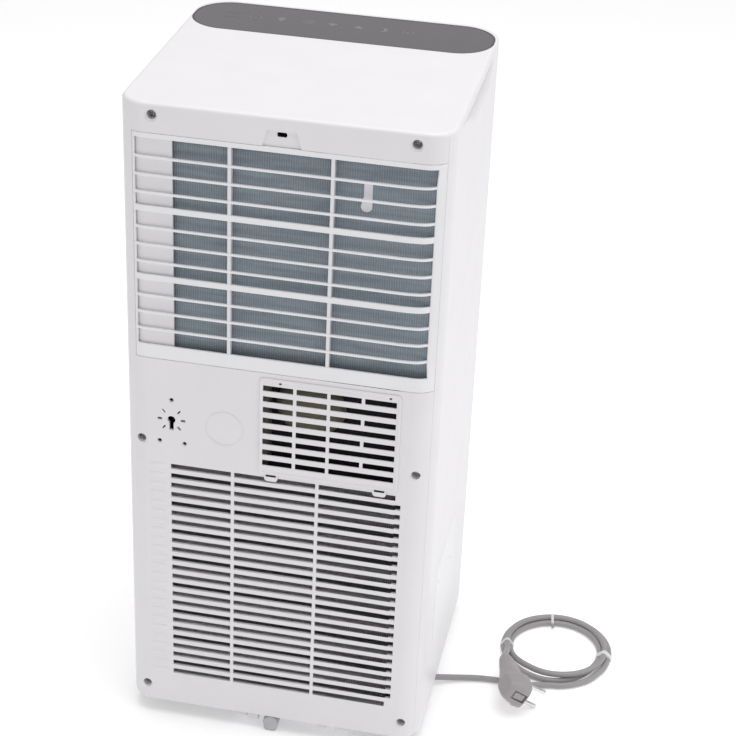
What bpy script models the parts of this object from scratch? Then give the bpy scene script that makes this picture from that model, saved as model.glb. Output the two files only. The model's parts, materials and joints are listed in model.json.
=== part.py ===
"""Portable air conditioner on casters, with its mains lead coiled beside it.

Metres, +Z up. The origin is on the floor under the middle of the body. The front, with the air
outlet, faces -Y. The back, with the filter frame and the two grilles, faces +Y.
"""

import math

import bmesh
import bpy
from mathutils import Matrix, Vector

# Body
WIDTH, DEPTH, HEIGHT = 0.303, 0.292, 0.675
SKIRT = 0.0185  # the shells' lower edge above the floor
WALL = 0.003
GAP = 0.0003  # kept between pieces that touch
REAR_RADIUS, FRONT_RADIUS = 0.025, 0.035
CORNER_STEPS = 5
REAR_SEAM = 0.1372  # where the side shell ends and the rear panel begins, along Y
CAP_SEAM = 0.6708  # lower edge of the top cover
CAP_EDGE = 0.0025
REAR = DEPTH / 2
FRONT = -DEPTH / 2
SIDE = WIDTH / 2

# Filter frame: its outer edges, its slats and the blank column beside them
FILTER_BOTTOM, FILTER_TOP, FILTER_SIDE = 0.4205, 0.6465, 0.1376
FILTER_ROWS, FILTER_PITCH, FILTER_FIRST = 12, 0.01725, 0.4345
FILTER_SLAT, FILTER_THICK = 0.0040, (3, 7)  # two slats stand twice as tall, upwards
FILTER_RIBS = (0.0477, -0.0458)
FILTER_OPEN = (-0.1392, 0.1003)
BLANK_DEPTH = 0.0035

# Exhaust outlet in the middle panel
EXHAUST_X, EXHAUST_Z = (-0.1175, 0.0150), (0.3105, 0.4155)
EXHAUST_RIM = 0.0025
EXHAUST_ROWS, EXHAUST_PITCH, EXHAUST_FIRST, EXHAUST_SLOT = 8, 0.0116, 0.3206, 0.0052
EXHAUST_RIBS = (-0.0164, -0.0488, -0.0815)
EXHAUST_OPEN = (-0.1127, 0.0137)
EXHAUST_TABS, TAB_WIDTH, TAB_HEIGHT = (0.0052, -0.1003), 0.013, 0.007

# Condenser-side grille moulded in the rear panel
GRILLE_X, GRILLE_RIBS = (-0.1195, 0.1046), (-0.0397, 0.0433)
GRILLE_ROWS, GRILLE_PITCH, GRILLE_FIRST, GRILLE_SLOT = 24, 0.01068, 0.0553, 0.0057
RIB = 0.0032

# Mid panel details, as (x, z) on the rear face
SCREW_PAIRS = ((0.119, 0.6635), (0.1338, 0.3307), (0.133, 0.0365))
SCREWS = [(side * x, z) for x, z in SCREW_PAIRS for side in (1, -1)]
SCREW_SEAT, SCREW_HOLE = 0.0095, 0.0044  # depth and radius of a screw's recess
KEYHOLE, KEYHOLE_RADIUS = (0.1034, 0.356), 0.0040
VENT_ANGLES, VENT_REACH = (0, 50, 130, 180, 230, 310), 0.0115
KEYHOLE_SCREWS = ((0, 0.0213), (0.0121, -0.0248), (-0.0126, -0.0252))
KNOCKOUT, KNOCKOUT_GROOVE = (0.0515, 0.3545), (0.0176, 0.0186)

# Pocket grips under the top edge of both sides
GRIP_Y, GRIP_Z, GRIP_DEPTH = (-0.070, 0.086), (0.640, 0.6655), 0.024

# Air outlet at the top of the front
OUTLET_X, OUTLET_Z = 0.115, (0.592, 0.646)
LIP = 0.0015  # how far the raised pieces stand proud of the front and rear faces

# Casters
CASTERS = [(0.118, -0.112), (-0.118, -0.112), (0.118, 0.086), (-0.118, 0.086)]
WHEEL_RADIUS, WHEEL_WIDTH, TRAIL = 0.0155, 0.011, 0.006
SOCKET_RADIUS, STEM_RADIUS = 0.0043, 0.0039
TRAY_BOTTOM, TRAY_WALL, TRAY_TOP = 0.041, 0.0025, 0.070
SPOUT_X, SPOUT_HEIGHT = 0.002, 0.0101

# Control panel let into the top
PANEL_LOW, PANEL_HIGH, PANEL_RADIUS, PANEL_DEPTH = (-0.149, -0.139), (0.149, -0.059), 0.036, 0.0018

# Blowers: (x, z) of the axis, which runs along Y
EVAPORATOR_AXIS, CONDENSER_AXIS = (-0.030, 0.512), (-0.045, 0.190)
SHEET_WALL, MOTOR_HOLE = 0.002, 0.030

# Refrigerant circuit
COMPRESSOR, COMPRESSOR_FOOT_REACH = (0.050, -0.060, 0.0702), 0.044
EVAPORATOR_COIL = ((-0.130, 0.098, 0.4195), (0.104, 0.124, 0.644))
CONDENSER_COIL = ((-0.124, 0.100, 0.0455), (0.110, 0.126, 0.3035))
SUCTION_ROUTE = [
    (-0.018, -0.095, 0.2215), (-0.018, -0.095, 0.320), (-0.060, -0.100, 0.340),
    (-0.120, -0.100, 0.345), (-0.1352, -0.060, 0.350), (-0.1352, 0.060, 0.352),
    (-0.1352, 0.104, 0.372), (-0.1352, 0.111, 0.405), (-0.1352, 0.111, 0.4378),
]
DISCHARGE_ROUTE = [
    (0.050, -0.060, 0.2398), (0.050, -0.060, 0.275), (0.080, -0.030, 0.290),
    (0.126, 0.010, 0.292), (0.132, 0.060, 0.280), (0.132, 0.095, 0.270),
    (0.1285, 0.113, 0.265), (0.1176, 0.113, 0.265),
]
CAPILLARY_ROUTE = [
    (0.1178, 0.113, 0.084), (0.128, 0.105, 0.084), (0.132, 0.070, 0.090),
    (0.133, 0.020, 0.120), (0.133, 0.000, 0.250), (0.134, 0.020, 0.330),
    (0.134, 0.070, 0.360), (0.134, 0.105, 0.395), (0.130, 0.111, 0.426),
    (0.1116, 0.111, 0.432),
]

# Mains lead
LEAD_DIAMETER = 0.0064
COIL_CENTRE, COIL_OUTER, COIL_INNER, COIL_HEIGHT = (-0.269, -0.062), 0.061, 0.0468, 0.0130
LEAD_ROUTE = [
    (-0.1243, 0.0338, 0.0112), (-0.1310, 0.0332, 0.0110), (-0.1380, 0.0309, 0.0102),
    (-0.1500, 0.0260, 0.0083), (-0.1650, 0.0192, 0.0056), (-0.1800, 0.0137, 0.0040),
    (-0.1900, 0.0112, 0.0036), (-0.2010, 0.0098, 0.0036), (-0.2150, 0.0092, 0.0036),
    (-0.2320, 0.0095, 0.0036), (-0.2500, 0.0082, 0.0036), (-0.2620, 0.0056, 0.0036),
    (-0.2720, 0.0031, 0.0036),
]
TAIL_ROUTE = [
    (-0.2138, -0.0520, 0.0167), (-0.2130, -0.0430, 0.0174), (-0.2128, -0.0340, 0.0192),
    (-0.2134, -0.0250, 0.0214), (-0.2148, -0.0170, 0.0230), (-0.2169, -0.0100, 0.0239),
    (-0.2196, -0.0032, 0.0241),
]
GLAND = (-0.0983, 0.0338, 0.0112)  # where the lead's gland leaves its clamp
PLUG_FACE = Vector((-0.2484, 0.0447, 0.0202))
PIN_DIRECTION = Vector((-0.79, -0.31, -0.53)).normalized()
PIN_LINE = Vector((-0.48, -0.22, 0.85))
PIN_SPACING, PIN_LENGTH, PIN_RADIUS = 0.019, 0.019, 0.0024

WHITE, DARK_GLOSS, GREY = (0.87, 0.86, 0.88), (0.18, 0.18, 0.19), (0.33, 0.33, 0.34)
STEEL, COPPER, BEIGE = (0.62, 0.63, 0.65), (0.72, 0.38, 0.24), (0.50, 0.47, 0.38)
BLACK = (0.03, 0.03, 0.03)


def clear_scene():
    for thing in list(bpy.data.objects):
        bpy.data.objects.remove(thing)


def material(colour, roughness, metallic=0.0):
    name = f"look_{colour[0]:.2f}_{colour[1]:.2f}_{roughness:.2f}_{metallic:.0f}"
    found = bpy.data.materials.get(name)
    if found:
        return found
    made = bpy.data.materials.new(name)
    made.use_nodes = True
    shader = made.node_tree.nodes["Principled BSDF"]
    shader.inputs["Base Color"].default_value = (*colour, 1)
    shader.inputs["Roughness"].default_value = roughness
    shader.inputs["Metallic"].default_value = metallic
    return made


# Mesh makers: each adds one closed shape to a bmesh and returns that bmesh


def add_box(mesh, low, high):
    size = Vector(high) - Vector(low)
    place = Matrix.Translation((Vector(low) + Vector(high)) / 2) @ Matrix.Diagonal((*size, 1))
    bmesh.ops.create_cube(mesh, size=1, matrix=place)
    return mesh


def add_prism(mesh, outline, low, high, axis="Z"):
    """An outline extruded along an axis. Along Y its points are (x, z), along X (y, z)."""
    places = {
        "Z": lambda a, b, c: (a, b, c),
        "Y": lambda a, b, c: (a, c, b),
        "X": lambda a, b, c: (c, a, b),
    }
    bottom = [mesh.verts.new(places[axis](a, b, low)) for a, b in outline]
    top = [mesh.verts.new(places[axis](a, b, high)) for a, b in outline]
    faces = [mesh.faces.new(bottom), mesh.faces.new(top)]
    for i, vert in enumerate(bottom):
        after = (i + 1) % len(bottom)
        faces.append(mesh.faces.new((vert, bottom[after], top[after], top[i])))
    bmesh.ops.recalc_face_normals(mesh, faces=faces)
    return mesh


def add_turned(mesh, profile, centre, axis=(0, 0, 1), segments=20, ring=False):
    """A profile of (radius, height) pairs turned round an axis through centre. A ring has no core."""
    turn = Vector((0, 0, 1)).rotation_difference(Vector(axis)).to_matrix()
    circles = []
    for radius, height in profile:
        points = []
        for step in range(segments if radius else 1):
            angle = math.tau * step / segments
            point = Vector((radius * math.cos(angle), radius * math.sin(angle), height))
            points.append(mesh.verts.new(Vector(centre) + turn @ point))
        circles.append(points)
    pairs = list(zip(circles, circles[1:] + circles[:1])) if ring else list(zip(circles, circles[1:]))
    faces = []
    for below, above in pairs:
        for i in range(segments):
            corners = [below[i % len(below)], below[(i + 1) % len(below)]]
            corners += [above[(i + 1) % len(above)], above[i % len(above)]]
            corners = list(dict.fromkeys(corners))
            if len(corners) > 2:
                faces.append(mesh.faces.new(corners))
    if not ring:
        faces += [mesh.faces.new(circle) for circle in (circles[0], circles[-1]) if len(circle) > 1]
    bmesh.ops.recalc_face_normals(mesh, faces=faces)
    return mesh


def cylinder(radius, length):
    return [(radius, 0), (radius, length)]


def node(name, mesh, look, smooth=0.0):
    """Makes the bmesh an object. Edges sharper than the smooth angle, in degrees, stay sharp."""
    data = bpy.data.meshes.new(name)
    mesh.to_mesh(data)
    mesh.free()
    if smooth:
        data.shade_smooth()
        data.set_sharp_from_angle(angle=math.radians(smooth))
    thing = bpy.data.objects.new(name, data)
    bpy.context.scene.collection.objects.link(thing)
    if look:
        data.materials.append(look)
    return thing


def boolean(thing, mesh, operation):
    """Cuts the mesh from an object, or joins it or crosses it with the object."""
    tool = node(f"{thing.name}_{operation.lower()}_{len(thing.modifiers)}", mesh, None)
    tool.hide_render = True
    tool.display_type = "WIRE"
    step = thing.modifiers.new(tool.name, "BOOLEAN")
    step.operation = operation
    step.object = tool
    return thing


def cut(thing, mesh):
    return boolean(thing, mesh, "DIFFERENCE")


def join(thing, mesh):
    return boolean(thing, mesh, "UNION")


def move_origin(thing, place):
    """Puts the object's origin on its joint's axis and leaves its shape where it is."""
    thing.data.transform(Matrix.Translation(-Vector(place)))
    thing.location = place
    for step in thing.modifiers:
        if step.type == "BOOLEAN":
            step.object.data.transform(Matrix.Translation(-Vector(place)))
            step.object.location = place


def arc(centre, radius, start, end, steps):
    angles = [math.radians(start + (end - start) * i / steps) for i in range(steps + 1)]
    return [(centre[0] + radius * math.cos(a), centre[1] + radius * math.sin(a)) for a in angles]


def round_box(low, high, radii, steps=CORNER_STEPS):
    """A rectangle's outline with round corners. The radii start at (high, high) and run anticlockwise."""
    centres = [
        (high[0] - radii[0], high[1] - radii[0]),
        (low[0] + radii[1], high[1] - radii[1]),
        (low[0] + radii[2], low[1] + radii[2]),
        (high[0] - radii[3], low[1] + radii[3]),
    ]
    points = []
    for i, (centre, radius) in enumerate(zip(centres, radii)):
        points += arc(centre, radius, 90 * i, 90 * i + 90, steps)
    return points


def body_outline(inset):
    radii = [radius - inset for radius in (REAR_RADIUS, REAR_RADIUS, FRONT_RADIUS, FRONT_RADIUS)]
    return round_box((-SIDE + inset, FRONT + inset), (SIDE - inset, REAR - inset), radii)


def columns(low, high, ribs):
    """The spans of a row of slots between its ends and the ribs that cross it."""
    edges = [low] + [e for rib in sorted(ribs) for e in (rib - RIB / 2, rib + RIB / 2)] + [high]
    return list(zip(edges[::2], edges[1::2]))


def add_tube(name, points, radius, look, sides=2):
    data = bpy.data.curves.new(name, "CURVE")
    data.dimensions = "3D"
    data.bevel_depth = radius
    data.bevel_resolution = sides
    data.use_fill_caps = True
    data.materials.append(look)
    line = data.splines.new("POLY")
    line.points.add(len(points) - 1)
    for point, place in zip(line.points, points):
        point.co = (*place, 1)
    thing = bpy.data.objects.new(name, data)
    bpy.context.scene.collection.objects.link(thing)
    return thing


def smooth_route(points, spacing):
    """Points about `spacing` apart on a smooth curve through the given ones."""
    route = [Vector(p) for p in points]
    padded = [2 * route[0] - route[1]] + route + [2 * route[-1] - route[-2]]
    dense = []
    for a, b, c, d in zip(padded, padded[1:], padded[2:], padded[3:]):
        count = max(1, round((c - b).length / spacing))
        for i in range(count):
            t = i / count
            dense.append(
                0.5 * (2 * b + (c - a) * t + (2 * a - 5 * b + 4 * c - d) * t**2
                       + (3 * b - a - 3 * c + d) * t**3)
            )
    return dense + [route[-1]]


# Shells


def front_shell(look):
    shell = node("front_shell", add_prism(bmesh.new(), body_outline(0), SKIRT, CAP_SEAM - GAP), look, 30)
    cut(shell, add_prism(bmesh.new(), body_outline(WALL), 0, HEIGHT))
    cut(shell, add_box(bmesh.new(), (-1, REAR_SEAM - GAP, 0), (1, 1, 1)))
    opening = add_box(bmesh.new(), (-OUTLET_X, -1, OUTLET_Z[0]), (OUTLET_X, FRONT + 0.05, OUTLET_Z[1]))
    cut(shell, opening)
    for side in (1, -1):
        join(shell, grip_pocket(side, WALL * 0.8, 0.0005))
    for side in (1, -1):
        cut(shell, grip_pocket(side, 0, 0.01))
    return shell


def grip_pocket(side, wall, past):
    """A wedge that is shallow at its foot and deepest under the top edge."""
    outer, inner = side * (SIDE + past - 0.001), side * (SIDE - GRIP_DEPTH - wall)
    foot, top = GRIP_Z[0] - wall, min(GRIP_Z[1] + wall, CAP_SEAM - GAP - 0.0002)
    knee = GRIP_Z[0] + 0.012 - wall * 0.5
    section = [(outer, foot), (inner, knee), (inner, top), (outer, top)]
    mesh = bmesh.new()
    return add_prism(mesh, section, GRIP_Y[0] - wall, GRIP_Y[1] + wall, "Y")


def top_cover(look):
    cover = node("top_cover", add_prism(bmesh.new(), body_outline(0), CAP_SEAM, HEIGHT), look, 30)
    edge = cover.modifiers.new("soft edge", "BEVEL")
    edge.width = CAP_EDGE
    edge.segments = 2
    edge.limit_method = "ANGLE"
    edge.angle_limit = math.radians(60)
    cut(cover, add_prism(bmesh.new(), body_outline(WALL), 0, HEIGHT - WALL))
    cut(cover, add_prism(bmesh.new(), panel_outline(0), HEIGHT - PANEL_DEPTH, 1))
    return cover


def panel_outline(inset):
    low, high = [side + inset for side in PANEL_LOW], [side - inset for side in PANEL_HIGH]
    return round_box(low, high, [PANEL_RADIUS - inset] * 4)


def control_panel(look):
    mesh = add_prism(bmesh.new(), panel_outline(GAP), HEIGHT - PANEL_DEPTH + GAP, HEIGHT)
    return node("control_panel", mesh, look, 30)


def rear_region(low, high, bottom, top):
    return add_box(bmesh.new(), (low, REAR_SEAM, bottom), (high, 1, top))


def rear_panel(look):
    panel = node("rear_panel", add_prism(bmesh.new(), body_outline(0), SKIRT, CAP_SEAM - GAP), look, 30)
    boolean(panel, rear_region(-1, 1, 0, 1), "INTERSECT")
    cut(panel, add_prism(bmesh.new(), body_outline(WALL), 0, HEIGHT))
    bosses, recesses, shanks = bmesh.new(), bmesh.new(), bmesh.new()
    for x, z in SCREWS:
        boss = cylinder(SCREW_HOLE + 0.002, 0.0105)
        add_turned(bosses, boss, (x, REAR - SCREW_SEAT - WALL, z), (0, 1, 0), 12)
        add_turned(recesses, cylinder(SCREW_HOLE, 0.02), (x, REAR - SCREW_SEAT, z), (0, 1, 0), 12)
        add_turned(shanks, cylinder(0.0019, 0.02), (x, REAR - 0.02, z), (0, 1, 0), 8)
    join(panel, bosses)
    cut(panel, recesses)
    cut(panel, shanks)
    low, high = (-1, 0, FILTER_BOTTOM - GAP), (FILTER_SIDE + GAP, 1, FILTER_TOP + GAP)
    cut(panel, add_box(bmesh.new(), low, high))
    low = (EXHAUST_X[0] + EXHAUST_RIM, 0, EXHAUST_Z[0] + EXHAUST_RIM)
    high = (EXHAUST_X[1] - EXHAUST_RIM, 1, EXHAUST_Z[1] - EXHAUST_RIM)
    cut(panel, add_box(bmesh.new(), low, high))
    slots = bmesh.new()
    for row in range(GRILLE_ROWS):
        z = GRILLE_FIRST + row * GRILLE_PITCH
        for left, right in columns(*GRILLE_X, GRILLE_RIBS):
            add_box(slots, (left, REAR - 0.01, z), (right, 1, z + GRILLE_SLOT))
    cut(panel, slots)
    cut(panel, bracket_holes())
    cut(panel, keyhole_slot())
    cut(panel, latch_recess())
    inner, outer = KNOCKOUT_GROOVE
    groove = [(inner, 0), (outer, 0), (outer, 0.01), (inner, 0.01)]
    place = (KNOCKOUT[0], REAR - 0.0008, KNOCKOUT[1])
    cut(panel, add_turned(bmesh.new(), groove, place, (0, 1, 0), 24, True))
    return panel


def keyhole_slot():
    x, z = KEYHOLE
    low, high = (x - 0.0022, REAR - 0.011, z - 0.0115), (x + 0.0022, REAR + 0.011, z)
    return add_box(bmesh.new(), low, high)


def bracket_holes():
    """The keyhole's round head, the short slots that ring it and the three screw holes around them."""
    x, z = KEYHOLE
    holes = add_turned(bmesh.new(), cylinder(KEYHOLE_RADIUS, 0.02), (x, REAR - 0.01, z), (0, 1, 0), 12)
    for angle in VENT_ANGLES:
        turn = Matrix.Rotation(math.radians(angle), 4, "Y")
        place = Matrix.Translation((x, REAR, z)) @ turn @ Matrix.Translation((VENT_REACH, 0, 0))
        bmesh.ops.create_cube(holes, size=1, matrix=place @ Matrix.Diagonal((0.005, 0.02, 0.002, 1)))
    for across, up in KEYHOLE_SCREWS:
        place = (x + across, REAR - 0.01, z + up)
        add_turned(holes, cylinder(0.0016, 0.02), place, (0, 1, 0), 8)
    return holes


def latch_recess():
    """The finger recess over the filter frame, wider at its foot."""
    outline = [(-0.0175, 0.6465), (0.0180, 0.6465), (0.0140, 0.6620), (-0.0130, 0.6620)]
    return add_prism(bmesh.new(), outline, REAR - 0.002, REAR + 0.01, "Y")


def filter_frame(look):
    wrap = add_prism(bmesh.new(), body_outline(0), FILTER_BOTTOM, FILTER_TOP)
    frame = node("filter_frame", wrap, look, 30)
    boolean(frame, rear_region(-1, FILTER_SIDE, 0, 1), "INTERSECT")
    openings = bmesh.new()
    for row in range(FILTER_ROWS):
        low = FILTER_FIRST + row * FILTER_PITCH
        high = low + FILTER_PITCH - FILTER_SLAT
        if row - 1 in FILTER_THICK:
            low += FILTER_SLAT
        for left, right in columns(*FILTER_OPEN, FILTER_RIBS):
            add_box(openings, (left, 0, low), (right, 1, high))
        blank_low = (FILTER_OPEN[1] + RIB, REAR - BLANK_DEPTH, low)
        add_box(openings, blank_low, (FILTER_SIDE - 0.0015, 1, high))
    return cut(frame, openings)


def filter_mesh(look):
    low = (FILTER_OPEN[0] - 0.001, REAR_SEAM - 0.0025, FILTER_BOTTOM + 0.008)
    high = (FILTER_OPEN[1] + 0.003, REAR_SEAM - GAP, FILTER_TOP - 0.003)
    return node("filter_mesh", add_box(bmesh.new(), low, high), look)


def exhaust_grille(look):
    """A flange that covers the opening's edge, and a plug that fits inside it."""
    low, high = (EXHAUST_X[0], EXHAUST_Z[0]), (EXHAUST_X[1], EXHAUST_Z[1])
    flange = round_box(low, high, [0.004] * 4, 3)
    face = (REAR + GAP, REAR + LIP)
    grille = node("exhaust_grille", add_prism(bmesh.new(), flange, *face, "Y"), look)
    inset = EXHAUST_RIM + 0.0005
    plug_low = (low[0] + inset, REAR - 0.008, low[1] + inset)
    plug_high = (high[0] - inset, REAR + 0.0008, high[1] - inset)
    join(grille, add_box(bmesh.new(), plug_low, plug_high))
    for x in EXHAUST_TABS:
        corner = (x - TAB_WIDTH / 2, low[1] - TAB_HEIGHT)
        tab = round_box(corner, (x + TAB_WIDTH / 2, low[1] + 0.002), [0.0005, 0.0005, 0.003, 0.003], 2)
        join(grille, add_prism(bmesh.new(), tab, *face, "Y"))
    slots = bmesh.new()
    for row in range(EXHAUST_ROWS):
        z = EXHAUST_FIRST + row * EXHAUST_PITCH
        ribs = EXHAUST_RIBS if row % 2 else EXHAUST_RIBS[:2]
        for left, right in columns(*EXHAUST_OPEN, ribs):
            add_box(slots, (left, 0, z), (right, 1, z + EXHAUST_SLOT))
    for x in (-0.1071, -0.0024):
        add_box(slots, (x - 0.0012, 0, 0.4104), (x + 0.0012, 1, 0.4132))
    return cut(grille, slots)


# Front air outlet


def outlet_louver(look):
    """The flap over the air outlet, hinged along its lower edge."""
    low = (-OUTLET_X + 0.0015, FRONT - LIP, OUTLET_Z[0] + 0.0015)
    high = (OUTLET_X - 0.0015, FRONT + 0.002, OUTLET_Z[1] - 0.0015)
    flap = node("outlet_louver", add_box(bmesh.new(), low, high), look, 30)
    edge = flap.modifiers.new("soft edge", "BEVEL")
    edge.width = 0.0012
    edge.segments = 2
    hinge = (0, FRONT + 0.0012, low[2] + 0.0025)
    pin = add_turned(bmesh.new(), cylinder(0.0022, 0.2286), (-0.1143, *hinge[1:]), (1, 0, 0), 10)
    join(flap, pin)
    move_origin(flap, hinge)
    return flap


def outlet_vanes(look):
    low = (-0.1125, FRONT + 0.012, OUTLET_Z[0] + 0.004)
    high = (0.1125, FRONT + 0.024, OUTLET_Z[1] - 0.002)
    vanes = node("outlet_vanes", add_box(bmesh.new(), low, high), look)
    count, pitch = 12, 0.0182
    slots = bmesh.new()
    for i in range(count):
        left = -count * pitch / 2 + i * pitch + 0.001
        right = left + pitch - 0.002
        add_box(slots, (left, FRONT, low[2] + 0.003), (right, 0, high[2] - 0.003))
    return cut(vanes, slots)


def air_duct(look):
    """The hood that turns the blower's air forward. It is open at the front and below at the back."""
    low, high = (-0.1145, FRONT + 0.0255, 0.5935), (0.1145, 0.078, 0.6535)
    duct = node("air_duct", add_box(bmesh.new(), low, high), look)
    inside = [side - SHEET_WALL for side in high]
    cut(duct, add_box(bmesh.new(), (low[0] + SHEET_WALL, -1, low[2] + SHEET_WALL), inside))
    middle = EVAPORATOR_AXIS[0]
    throat = add_box(bmesh.new(), (middle + 0.003, 0.014, 0), (middle + 0.091, inside[1], low[2] + 0.01))
    cut(duct, throat)
    return duct


# Blowers


def scroll_outline(axis, start, end, height, wall=0.0, past=0.0):
    """A spiral that widens from the cutoff round to its throat, which rises on the +X side."""
    steps = 18
    points = []
    for i in range(steps + 1):
        angle = math.radians(90 + 270 * i / steps)
        radius = start + (end - start) * i / steps - wall
        points.append((axis[0] + radius * math.cos(angle), axis[1] + radius * math.sin(angle)))
    points[0] = (axis[0] + wall, points[0][1])
    mouth = axis[1] + height + past
    return points + [(axis[0] + end - wall, mouth), (axis[0] + wall, mouth)]


def scroll(name, axis, depth, start, end, height, inlet, look):
    wall = 0.0018
    outside = scroll_outline(axis, start, end, height)
    case = node(name, add_prism(bmesh.new(), outside, *depth, "Y"), look, 30)
    hollow = scroll_outline(axis, start, end, height, wall, 0.02)
    cut(case, add_prism(bmesh.new(), hollow, depth[0] + wall, depth[1] - wall, "Y"))
    middle = (axis[0], depth[0] + 0.02, axis[1])
    cut(case, add_turned(bmesh.new(), cylinder(inlet, 0.1), middle, (0, 1, 0), 24))
    behind = (axis[0], depth[0] - 0.08, axis[1])
    return cut(case, add_turned(bmesh.new(), cylinder(MOTOR_HOLE, 0.1), behind, (0, 1, 0), 16))


def blower_wheel(name, axis, depth, radius, look):
    """A back plate with a hub, a ring at the inlet and blades between them."""
    place = (axis[0], depth[0], axis[1])
    length = depth[1] - depth[0]
    bore, hub = 0.0034, 0.010
    plate = [(bore, 0), (radius, 0), (radius, 0.002), (hub, 0.002), (hub, 0.014), (bore, 0.014)]
    wheel = node(name, add_turned(bmesh.new(), plate, place, (0, 1, 0), 24, True), look, 30)
    lip, inner = length - 0.002, radius - 0.010
    ring = [(inner, lip), (radius, lip), (radius, length), (inner, length)]
    join(wheel, add_turned(bmesh.new(), ring, place, (0, 1, 0), 24, True))
    blades, size = bmesh.new(), Matrix.Diagonal((0.009, lip, 0.0014, 1))
    count = 11
    for i in range(count):
        turn = Matrix.Rotation(math.tau * i / count, 4, "Y")
        lean = Matrix.Rotation(math.radians(35), 4, "Y")
        middle = Matrix.Translation((axis[0], (depth[0] + depth[1]) / 2, axis[1]))
        blade = middle @ turn @ Matrix.Translation((radius - 0.0062, 0, 0)) @ lean
        bmesh.ops.create_cube(blades, size=1, matrix=blade @ size)
    join(wheel, blades)
    move_origin(wheel, place)
    return wheel


def motor(name, axis, depth, radius, reach, look):
    """A motor can with its shaft, which reaches into the wheel's hub."""
    length = depth[1] - depth[0]
    profile = [(radius * 0.8, 0), (radius, 0.006), (radius, length - 0.006), (radius * 0.8, length)]
    profile += [(0.009, length), (0.009, length + 0.003), (0.003, length + 0.003), (0.003, length + reach)]
    mesh = add_turned(bmesh.new(), profile, (axis[0], depth[0], axis[1]), (0, 1, 0), 16)
    return node(name, mesh, look, 30)


# Heat exchangers and the refrigerant circuit


def coil_block(name, low, high, pipes, look):
    """The fin block, with the hairpin pipe ends that stand out of its sides."""
    block = node(name, add_box(bmesh.new(), low, high), look)
    bends = bmesh.new()
    pitch = (high[2] - low[2]) / pipes
    y = (low[1] + high[1]) / 2
    for i in range(pipes):
        z = low[2] + pitch * (i + 0.25)
        for side, end in ((1, high[0]), (-1, low[0])):
            lift = z if side > 0 else z + pitch / 2
            if lift + pitch / 2 > high[2]:
                continue
            add_box(bends, (end - 0.002 if side > 0 else end - 0.007, y - 0.004, lift),
                    (end + 0.007 if side > 0 else end + 0.002, y + 0.004, lift + pitch / 2))
    return join(block, bends)


def compressor(look):
    x, y, z = COMPRESSOR
    profile = [(0.030, 0.000), (0.046, 0.006), (0.052, 0.022), (0.052, 0.134), (0.044, 0.154),
               (0.022, 0.166), (0, 0.169)]
    can = node("compressor", add_turned(bmesh.new(), profile, COMPRESSOR, segments=20), look, 40)
    feet = [(x + 0.056 * math.cos(a), y + 0.056 * math.sin(a)) for a in compressor_angles()]
    return join(can, add_prism(bmesh.new(), feet, z - 0.001, z + 0.003))


def compressor_angles():
    return [math.radians(30 + 120 * i) for i in range(3)]


def compressor_feet(look):
    for i, angle in enumerate(compressor_angles()):
        x = COMPRESSOR[0] + COMPRESSOR_FOOT_REACH * math.cos(angle)
        y = COMPRESSOR[1] + COMPRESSOR_FOOT_REACH * math.sin(angle)
        place = (x, y, TRAY_BOTTOM + TRAY_WALL + GAP)
        foot = [(0.009, 0), (0.009, 0.008), (0.0065, 0.012), (0.009, 0.016), (0.009, 0.0248)]
        node(f"compressor_foot_{i + 1}", add_turned(bmesh.new(), foot, place, segments=12), look, 30)


def refrigerant_pipes(copper):
    add_tube("suction_pipe", smooth_route(SUCTION_ROUTE, 0.014), 0.0045, copper, 1)
    add_tube("discharge_pipe", smooth_route(DISCHARGE_ROUTE, 0.014), 0.0035, copper, 1)
    add_tube("capillary", smooth_route(CAPILLARY_ROUTE, 0.016), 0.0015, copper, 1)


def accumulator(look):
    profile = [(0, 0), (0.014, 0.003), (0.020, 0.012), (0.020, 0.105), (0.014, 0.114),
               (0.005, 0.117), (0.005, 0.125)]
    mesh = add_turned(bmesh.new(), profile, (-0.018, -0.095, 0.0960), segments=16)
    return node("accumulator", mesh, look, 40)


def middle_deck(look):
    """The drip tray under the evaporator, which parts the upper half from the lower."""
    low, high = (-0.1465, -0.1415, 0.404), (0.1465, 0.1260, 0.418)
    outline = round_box(low[:2], high[:2], [0.012, 0.012, 0.031, 0.031], 5)
    deck = node("middle_deck", add_prism(bmesh.new(), outline, low[2], high[2]), look)
    inner = round_box([side + SHEET_WALL for side in low[:2]], [side - SHEET_WALL for side in high[:2]],
                      [0.010, 0.010, 0.029, 0.029], 5)
    cut(deck, add_prism(bmesh.new(), inner, low[2] + SHEET_WALL, 1))
    holes = add_box(bmesh.new(), (-0.1425, 0.090, 0), (-0.125, 0.120, 1))
    add_box(holes, (0.125, 0.090, 0), (0.1425, 0.120, 1))
    return cut(deck, holes)


def exhaust_duct(look):
    """Carries the hot air from the condenser scroll up and back to the outlet grille."""
    low, high = (-0.1155, 0.0245, 0.2925), (0.0565, 0.1340, 0.4025)
    duct = node("exhaust_duct", add_box(bmesh.new(), low, high), look)
    inside_y, inside_top = low[1] + SHEET_WALL, high[2] - SHEET_WALL
    throat = CONDENSER_AXIS[0]
    bend, floor = 0.0885, 0.3042  # where the throat gives way to the run back to the grille
    cut(duct, add_box(bmesh.new(), (low[0] + SHEET_WALL, inside_y, 0.306), (0.0125, 1, inside_top)))
    cut(duct, add_box(bmesh.new(), (throat + 0.003, inside_y, 0.28), (0.0545, 0.086, inside_top)))
    cut(duct, add_box(bmesh.new(), (throat + 0.0688, bend, 0), (1, 1, 1)))
    cut(duct, add_box(bmesh.new(), (-1, bend, 0), (1, 1, floor)))
    cut(duct, add_box(bmesh.new(), (-1, 0, 0), (throat - 0.0022, 1, floor)))
    return duct


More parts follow.
